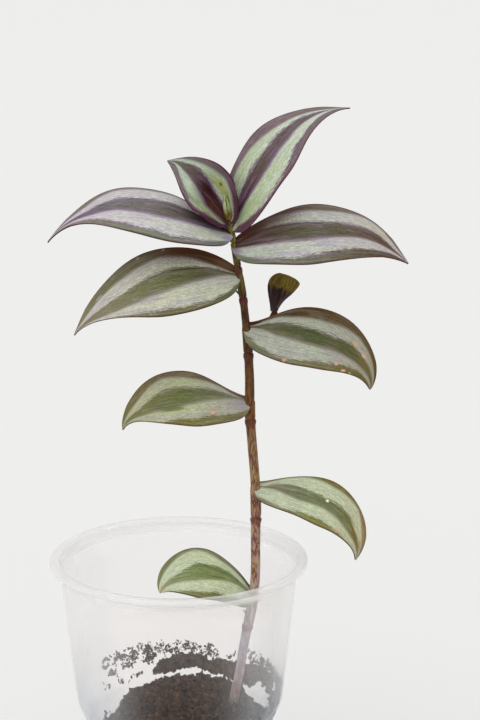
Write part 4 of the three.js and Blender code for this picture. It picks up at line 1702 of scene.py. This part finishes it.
@dataclass
class GrowingTip:
    """The newest leaf, still rolled into a spear with a spiral seam."""

    points: tuple[Place, ...] = (
        (18.7, -3.4, 257), (18.3, -4.1, 259.5), (17.7, -4.6, 263), (17, -4.8, 267),
    )
    size: float = 1.8
    belly: float = 0.7
    flatness: float = 0.75
    finish: LengthwiseSkin = LengthwiseSkin(
        "rolled_young_leaf", ("96803a", "7a5a2c"), ("a9b680", "444a2c"), turn=0.28, blend=0.15, streaks=10
    )

    def _radius(self, share: float, turn: float) -> float:
        """Gives the spear's radius.

        Args:
            share: the share of its length.
            turn: the turn round it in radians.

        Returns:
            The radius.
        """
        swell = math.sin(math.pi * share**self.belly) if share < 1 else 0.0
        size = self.size * (0.55 * (1 - share) + 0.45 * swell) + 0.12
        seam = (turn / math.tau + 0.35 * share) % 1.0
        size *= 1 + 0.14 * (seam - 0.5)
        return size * math.hypot(math.cos(turn), math.sin(turn) * self.flatness)

    def build(self) -> Piece:
        """Rolls the spear and returns its mesh object."""
        return smooth(tube("growing_spear", Line(self.points), (0, 1), self._radius, 60, 30), 35)

    def dress(self, spear: Piece) -> None:
        """Gives the spear its finish and ties it to the frame."""
        hand_in(spear, "young_leaf", "growing_tip", self.finish.make())


ORANGE = "dba27c"  # scorched spots

# From the lowest leaf to the highest. A leaf's numbers are its node, root, length, width, behind,
# azimuth, rise, droop, late, hook, lean, fold, arch, widest, taper and oblique. Its tones are those
# of the silver, the stripe, the near margin and the far margin.
LEAVES = (
    Leaf(
        "leaf_1", 105, 115.5, 41.5, 21.5, 0.5, 184, 57, 91, 0.9, 60, 38, 10, 0.15, 0.47, 0.7, 1.4,
        LeafFace(
            (
                (10, 20, 48, 60, 80), (20, 15, 47, 64, 85), (30, 12, 44, 68, 87), (40, 15, 40, 68, 88),
                (60, 12, 34, 67, 96), (72, 8, 33, 55, 90), (90, 4, 30, 46, 78),
            ),
            Tones("b4c0a0", "c3cda6", "c0c8aa"), Tones("6d7d4c", "6c7c46", "8d986c"),
            Tones("7d8450", "716e42", "868c58"), Tones("625e50", "7e7c60", "7c7c54"),
            fringe="8a8c68", tint="b9c2a4", rim="5c4a3a",
            patches=(
                Patch(22, 60, 0.8, 0.7, "454b3a"), Patch(46, 55, 4, 0.6, "8c8a62", 0.6),
                Patch(95, 35, 2.5, 3, "b08a68", 0.8), Patch(12, 62, 3, 2, "9a8f7c", 0.5),
            ),
        ),
    ),
    Leaf(
        "leaf_2", 147.5, 158.6, 52, 20, -0.5, -6, -2, 94, 1.8, 20, 38, 10, 0.15, 0.45, 0.85, 0.9,
        LeafFace(
            (
                (4, 12, 52, 60, 85), (12, 7, 48, 70, 92), (20, 4, 40, 72, 96), (30, 8, 33, 64, 97),
                (40, 12, 35, 60, 93), (50, 13, 37, 59, 88), (60, 10, 35, 62, 90), (70, 7, 30, 61, 93),
                (80, 3, 27, 48, 80), (95, 0, 30, 45, 70),
            ),
            Tones("bdc2a8", "c1c9a6", "b4ac88"), Tones("7c7763", "6b7450", "6e6430"),
            Tones("8a8c66", "7c7c3f", "86763f"), Tones("7c6c4e", "77703c", "8a704a"),
            fringe="8b9070", tint="b6c0a4", rim="6a4a38",
            patches=(
                Patch(50, 55, 0.75, 0.6, "eef0e4", 0.95), Patch(68, 12, 1.3, 0.8, "cfa983", 0.8),
                Patch(80, 47, 5, 1.8, "775a26", 0.75, 0.7), Patch(13, 70, 4, 3, "8d7f72", 0.6, 0.8),
                Patch(90, 50, 4, 5, "8a6e48", 0.55, 0.8),
            ),
        ),
        lobe=0.6,
    ),
    Leaf(
        "leaf_3", 184.5, 190.5, 50.7, 24, -0.3, 186, 17, 54, 1.25, 55, 42, 10, 0.25, 0.39, 1, 1.5,
        LeafFace(
            (
                (5, 20, 52, 60, 66), (12, 15, 50, 65, 78), (20, 15, 45, 68, 89), (30, 14, 40, 66, 87),
                (40, 12, 36, 64, 84), (50, 11, 31, 65, 86), (60, 6, 25, 64, 88), (70, 0, 26, 57, 82),
                (80, -3, 22, 45, 72), (95, -5, 17, 36, 58),
            ),
            Tones("a39d94", "b0b68e", "aaab82"), Tones("6b6652", "697146", "737241"),
            Tones("7c7454", "74703e", "74703e"), Tones("6c5848", "76664a", "706a42"),
            fringe="827f6a", tint="aaa89e", rim="5c3f30",
            patches=(
                Patch(56, 27, 6, 1.3, "6a7242", 0.85, 0.6), Patch(25, 96, 9, 1.8, "6b574a", 0.7, 0.7),
                Patch(6, 42, 4.5, 5, "a098a2", 0.55, 0.8), Patch(10, 85, 3.5, 3, "6e5a50", 0.7, 0.7),
                Patch(26, 19, 1, 0.9, ORANGE), Patch(29.5, 27, 0.5, 0.5, ORANGE, 0.8),
            ),
        ),
        lobe=0.7,
    ),
    Leaf(
        "leaf_4", 209, 217.8, 54.5, 24.6, -0.2, -6, -2, 70, 2.2, 35, 48, 10, 0.2, 0.37, 0.8, 1.05,
        LeafFace(
            (
                (4, 25, 53, 66, 70), (10, 12, 50, 72, 88), (20, 7, 41, 70, 87), (30, 6, 38, 64, 80),
                (40, 9, 36, 61, 78), (50, 11, 35, 59, 78), (60, 13, 36, 60, 82), (70, 17, 37, 65, 87),
                (82, 20, 37, 62, 84), (95, 20, 40, 60, 80),
            ),
            Tones("a8ab9a", "abb19b", "979072"), Tones("5a5a38", "555c3c", "5e5834"),
            # The far margin's dark brown at the root is painted shade.
            Tones("76785a", "76734e", "64602c"), Tones("4e301c", "62502f", "5e4c2c"),
            fringe="7d7468", tint="a5a2a0", rim="5a3426",
            patches=(
                # The first patch, dark brown at the root's far side, is painted shade.
                Patch(6, 92, 4, 4.5, "46281a", 0.85, 0.7), Patch(86, 50, 6, 7, "786e40", 0.4, 0.7),
                Patch(78.5, 65, 1.1, 1.2, ORANGE), Patch(70, 70, 1, 1.6, ORANGE, 0.55),
                Patch(66, 15, 1, 0.8, ORANGE), Patch(73.5, 5, 1.2, 1, ORANGE),
                Patch(79, 3.5, 0.7, 0.6, ORANGE), Patch(27, 3, 0.8, 0.6, ORANGE, 0.8),
                Patch(60, 69, 1, 0.5, "b3a27a", 0.7), Patch(71.5, 25, 0.7, 0.6, "b59a70", 0.7),
            ),
        ),
    ),
    Leaf(
        "leaf_5", 229, 236.5, 65.2, 27.5, -0.3, 186, 9, 56, 1.1, 15, 48, 10, 0.3, 0.36, 1.3, 0.48,
        LeafFace(
            (
                (2.5, 22, 50, 60, 62), (6, 12, 50, 61, 65), (15, 7.5, 44, 63, 71), (30, 8, 37, 62, 82),
                (40, 9, 33, 61, 84), (50, 8, 30, 57, 80), (60, 6, 26, 52, 77), (70, 3, 20, 46, 75),
                (80, -2, 15, 42, 72), (95, -5, 10, 34, 60),
            ),
            Tones("b4b8a2", "c5c6ad", "c2bdb2"), Tones("545234", "767a53", "857e60"),
            # The far margin's dark red-brown at the root is painted shade.
            Tones("666a4c", "726e50", "7d785a"), Tones("4c2614", "696844", "7c785c"),
            fringe="837a72", tint="b6b0b0", rim="4a2416",
            patches=(
                # The first two patches, dark brown over the far half at the root, are painted shade.
                Patch(26, 98, 17.5, 9.5, "5c3620", 0.95, 0.85),
                Patch(7, 82, 6, 5.5, "78583c", 0.75, 0.8), Patch(30, 60, 9, 1.1, "46402a", 0.6, 0.8),
                Patch(51, 95, 0.8, 0.6, "c98a78", 0.7), Patch(77, 78, 2.2, 1.5, "b8a2ae", 0.6, 0.8),
                Patch(38, 96, 0.7, 0.5, "c98a78", 0.6),
            ),
        ),
        lobe=0.55,
    ),
    Leaf(
        "leaf_6", 240, 247.3, 65, 25.5, 0, -6, 19, 62, 1.6, 0, 44, 10, 0.3, 0.42, 1.1, 0.48,
        LeafFace(
            (
                (3, 20, 38, 70, 72), (10, 10, 37, 72, 84), (20, 8, 35, 70, 93), (30, 9, 35, 67, 88),
                (40, 11, 34, 64, 86), (50, 14, 36, 63, 85), (60, 18, 41, 66, 90), (70, 21, 46, 71, 96),
                (80, 24, 49, 73, 95), (90, 27, 47, 64, 84),
            ),
            Tones("a9b0a0", "bbbfae", "b4afa0"), Tones("4c3622", "605f4c", "5c4a36"),
            # The far margin's dark brown at the root is painted shade.
            Tones("737864", "70705a", "5a4c34"), Tones("44241a", "706a4c", "766c54"),
            fringe="7f6c7c", tint="b2aab8", rim="4e2a26",
            patches=(
                # The first and the third patch, dark brown over the far half at the root, are painted shade.
                Patch(10, 80, 9.5, 7, "55301f", 0.92, 0.7), Patch(2, 30, 2.6, 3.2, "8a7494", 0.75, 0.7),
                Patch(20, 84, 16, 7, "64463a", 0.82, 0.85), Patch(14, 12, 4, 1.2, "97859c", 0.6, 0.8),
            ),
        ),
    ),
    Leaf(
        "leaf_7", 248.6, 251.4, 70, 25.5, -0.5, 186, 24, 78, 2, 0, 32, 10, 0.3, 0.38, 1.7, 0.9,
        LeafFace(
            (
                (3, 15, 44, 70, 75), (10, 9, 40, 70, 90), (20, 9, 37, 69, 96), (30, 8.5, 36, 70, 96),
                (40, 11, 35, 67, 92), (50, 10, 37, 66, 91), (60, 13, 41, 68, 93), (68, 15, 38, 63, 88),
                (75, 17, 34, 54, 78), (92, 18, 33, 50, 70),
            ),
            Tones("b4b8a8", "c6c6c0", "c4b8be"), Tones("3a241c", "75706a", "6e6672"),
            Tones("747a6c", "747a68", "8c8270"), Tones("5c4a40", "7e7c66", "7c746a"),
            fringe="86728e", tint="c2b8c2", tinted=0.48, rim="5a3434",
            patches=(
                # The first patch, dark brown over the root, is painted shade.
                Patch(8, 62, 15, 4.6, "3a241a", 0.92, 0.8), Patch(2, 25, 3, 4, "9480a4", 0.7, 0.8),
                Patch(17, 25, 6, 2.2, "b4c09c", 0.5, 0.9), Patch(45, 6, 12, 1.2, "7f8a6c", 0.6, 0.8),
            ),
        ),
        lobe=0.8,
    ),
    Leaf(
        "leaf_8", 252.4, 253.4, 63.5, 22, 0, 6, 69, 70, 1.9, 0, 45, 10, 0.2, 0.43, 1.7, 0.2,
        LeafFace(
            (
                (3, 30, 42, 60, 75), (10, 13, 42, 58, 84), (20, 6, 39, 59, 87), (30, 5, 36, 60, 88),
                (40, 6, 35, 59, 86), (50, 10, 37, 59, 81), (60, 16, 39, 63, 78), (70, 18, 45, 66, 78),
                (80, 28, 50, 64, 76), (92, 40, 53, 57, 66),
            ),
            Tones("a6b48a", "b4bf9e", "c8cfc0"), Tones("4a2a26", "62564f", "6e6462"),
            Tones("60464c", "70605e", "7c706c"), Tones("6e5c5e", "786864", "80746e"),
            fringe="84688a", tint="bcc6b4", rim="5c3444",
            patches=(
                # The first patch, dark red at the root, is painted shade.
                Patch(7, 56, 5, 3.2, "48142a", 0.92, 0.5), Patch(3, 12, 5, 3.5, "5a3a4c", 0.7, 0.6),
                Patch(15, 30, 5, 2.5, "a3b67e", 0.5, 0.8),
            ),
        ),
        lobe=0.5,
    ),
    Leaf(
        "leaf_9", 254.4, 255.2, 33, 19, 0, 158, 63, 48, 1.2, 0, 66, 34, -0.2, 0.36, 1, 0.2,
        LeafFace(
            (
                (10, 17, 28, 56, 82), (30, 8, 24, 58, 86), (40, 6, 28, 60, 90), (50, 8, 32, 64, 88),
                (60, 10, 37, 68, 87), (70, 15, 41, 72, 88), (80, 21, 46, 73, 90), (92, 50, 64, 78, 95),
            ),
            Tones("8b995f", "8b9776", "b0bea8"), Tones("54332a", "3a231e", "6e665e"),
            Tones("5c2a42", "6e5e64", "7a7068"), Tones("45202c", "5c4e50", "7c766a"),
            fringe="765a7e", tint="b4c0a6", rim="5a2c44", soft=0.026,
            patches=(
                # The first patch, dark brown down the middle of the cupped blade, is painted shadow in its
                # hollow.
                Patch(44, 50, 5.5, 2.6, "301612", 0.85, 0.8),
                Patch(34, 75, 8, 2.6, "95964f", 0.75, 0.8), Patch(38.5, 76, 0.8, 0.7, "6a4a1c", 0.85),
                Patch(66, 26, 4, 1.6, "ccd6c6", 0.45, 0.8),
            ),
        ),
        lobe=0.2, roll=(0.5, 0.45),
    ),
)

SHOOT_LEAF = Leaf(
    "side_shoot_leaf", 0.66, 0.9, 14.8, 11.2, 0, 0, 72, 4, 2, 0, -84, 48, -0.1, 0.7, 0.34, 1.6,
    swell=0.85, lobe=0, wave=0.2, shape=BladeShape(rows=40, columns=24),
)


# ---- Studio -------------------------------------------------------------------------------


class LightKind(Enum):
    """The jobs that the studio's lights do."""

    KEY = "key_light"
    FILL = "fill_light"


@dataclass(frozen=True)
class SoftLight:
    """A broad, distant light: where it comes from, how wide it looks and how bright it is."""

    kind: LightKind
    azimuth: float  # degrees round from +X
    elevation: float
    breadth: float  # degrees across, as the part sees it
    strength: float


@dataclass
class Studio:
    """A pale table, plain soft light and the camera."""

    camera_place: tuple[float, float, float] = (0.0225, -0.6991, 0.3768)
    pitch: float = 13.8  # degrees down
    lens: float = 100.0
    table: str = "f1f1ef"
    sky: float = 0.67
    lights: tuple[SoftLight, ...] = (
        SoftLight(LightKind.KEY, 235, 50, 70, 1.03),
        SoftLight(LightKind.FILL, 330, 35, 90, 0.32),
    )

    def build(self) -> None:
        """Sets the table, the lights and the camera."""
        self._table()
        self._lights()
        self._camera()

    def _table(self) -> None:
        """Lays the table's pale matt board."""
        activate()
        bpy.ops.mesh.primitive_plane_add(size=60, location=(0, 0, -0.0005))
        board = bpy.context.object
        board.name = "table_board"
        material, tree = new_material("matt_white_board")
        inputs = {"Base Color": linear(self.table), "Roughness": 0.9, "Specular IOR Level": 0.1}
        add_node(tree, "OutputMaterial", (add_node(tree, "BsdfPrincipled", inputs),))
        board.data.materials.append(material)

    def _lights(self) -> None:
        """Hangs the soft lights and lights the room."""
        for light in self.lights:
            lamp = bpy.data.lights.new(light.kind.value, "SUN")
            lamp.angle = math.radians(light.breadth)
            lamp.energy = light.strength
            holder = bpy.data.objects.new(light.kind.value, lamp)
            tilt = math.radians(90 - light.elevation)
            holder.rotation_euler = (tilt, 0, math.radians(light.azimuth + 90))
            bpy.context.scene.collection.objects.link(holder)
        world = bpy.data.worlds.new("studio_room")
        world.use_nodes = True
        world.node_tree.nodes.clear()
        glow = add_node(world.node_tree, "Background", {"Color": grey(1.0), "Strength": self.sky})
        add_node(world.node_tree, "OutputWorld", (glow,))
        bpy.context.scene.world = world

    def _camera(self) -> None:
        """Sets up the camera at the photograph's angle."""
        data = bpy.data.cameras.new("camera")
        data.sensor_width = 36.0
        data.lens = self.lens
        data.clip_start = 0.01
        data.clip_end = 30.0
        camera = bpy.data.objects.new("camera", data)
        camera.location = self.camera_place
        camera.rotation_euler = (math.radians(90 - self.pitch), 0, 0)
        bpy.context.scene.collection.objects.link(camera)
        bpy.context.scene.camera = camera
        bpy.context.scene.view_settings.view_transform = "Standard"


# ---- The whole part -----------------------------------------------------------------------


def main() -> None:
    """Builds and dresses each sub-assembly in turn."""
    Studio().build()
    cup = DrinkingCup()
    cup.dress(cup.build())
    soil = PottingSoil(cup)
    bed = soil.build()
    soil.dress(bed)
    crust = WallCrust(cup)
    crust.dress(crust.build(), bed.data.materials[0])
    stem = Stem(nodes=tuple((leaf.node, leaf.root + SHEATH_MOUTH) for leaf in LEAVES))
    skin = stem.dress(stem.build())
    under = LeafUnderside().make()
    for leaf in LEAVES:
        pieces = leaf.build(stem.line, stem.sheath_radius)
        slot = "young_leaf_blade" if leaf.name in ("leaf_8", "leaf_9") else "leaf_blade"
        upper = leaf.face.make(leaf.name, leaf.length, leaf.width)
        leaf.dress(pieces, (upper, under), skin, slot)
    young = LengthwiseSkin(
        "side_shoot_skin", ("24100f", "402628"), ("766614", "564412"), turn=0.6, blend=0.08, streaks=14
    ).make()
    pieces = SHOOT_LEAF.build(stem.shoot_line, lambda _: stem.shoot_sheath, by_height=False)
    SHOOT_LEAF.dress(pieces, (young, young), skin, "young_leaf")
    tip = GrowingTip()
    tip.dress(tip.build())


if __name__ == "__main__":
    logging.basicConfig(level=logging.INFO, format="%(name)s: %(message)s")
    main()
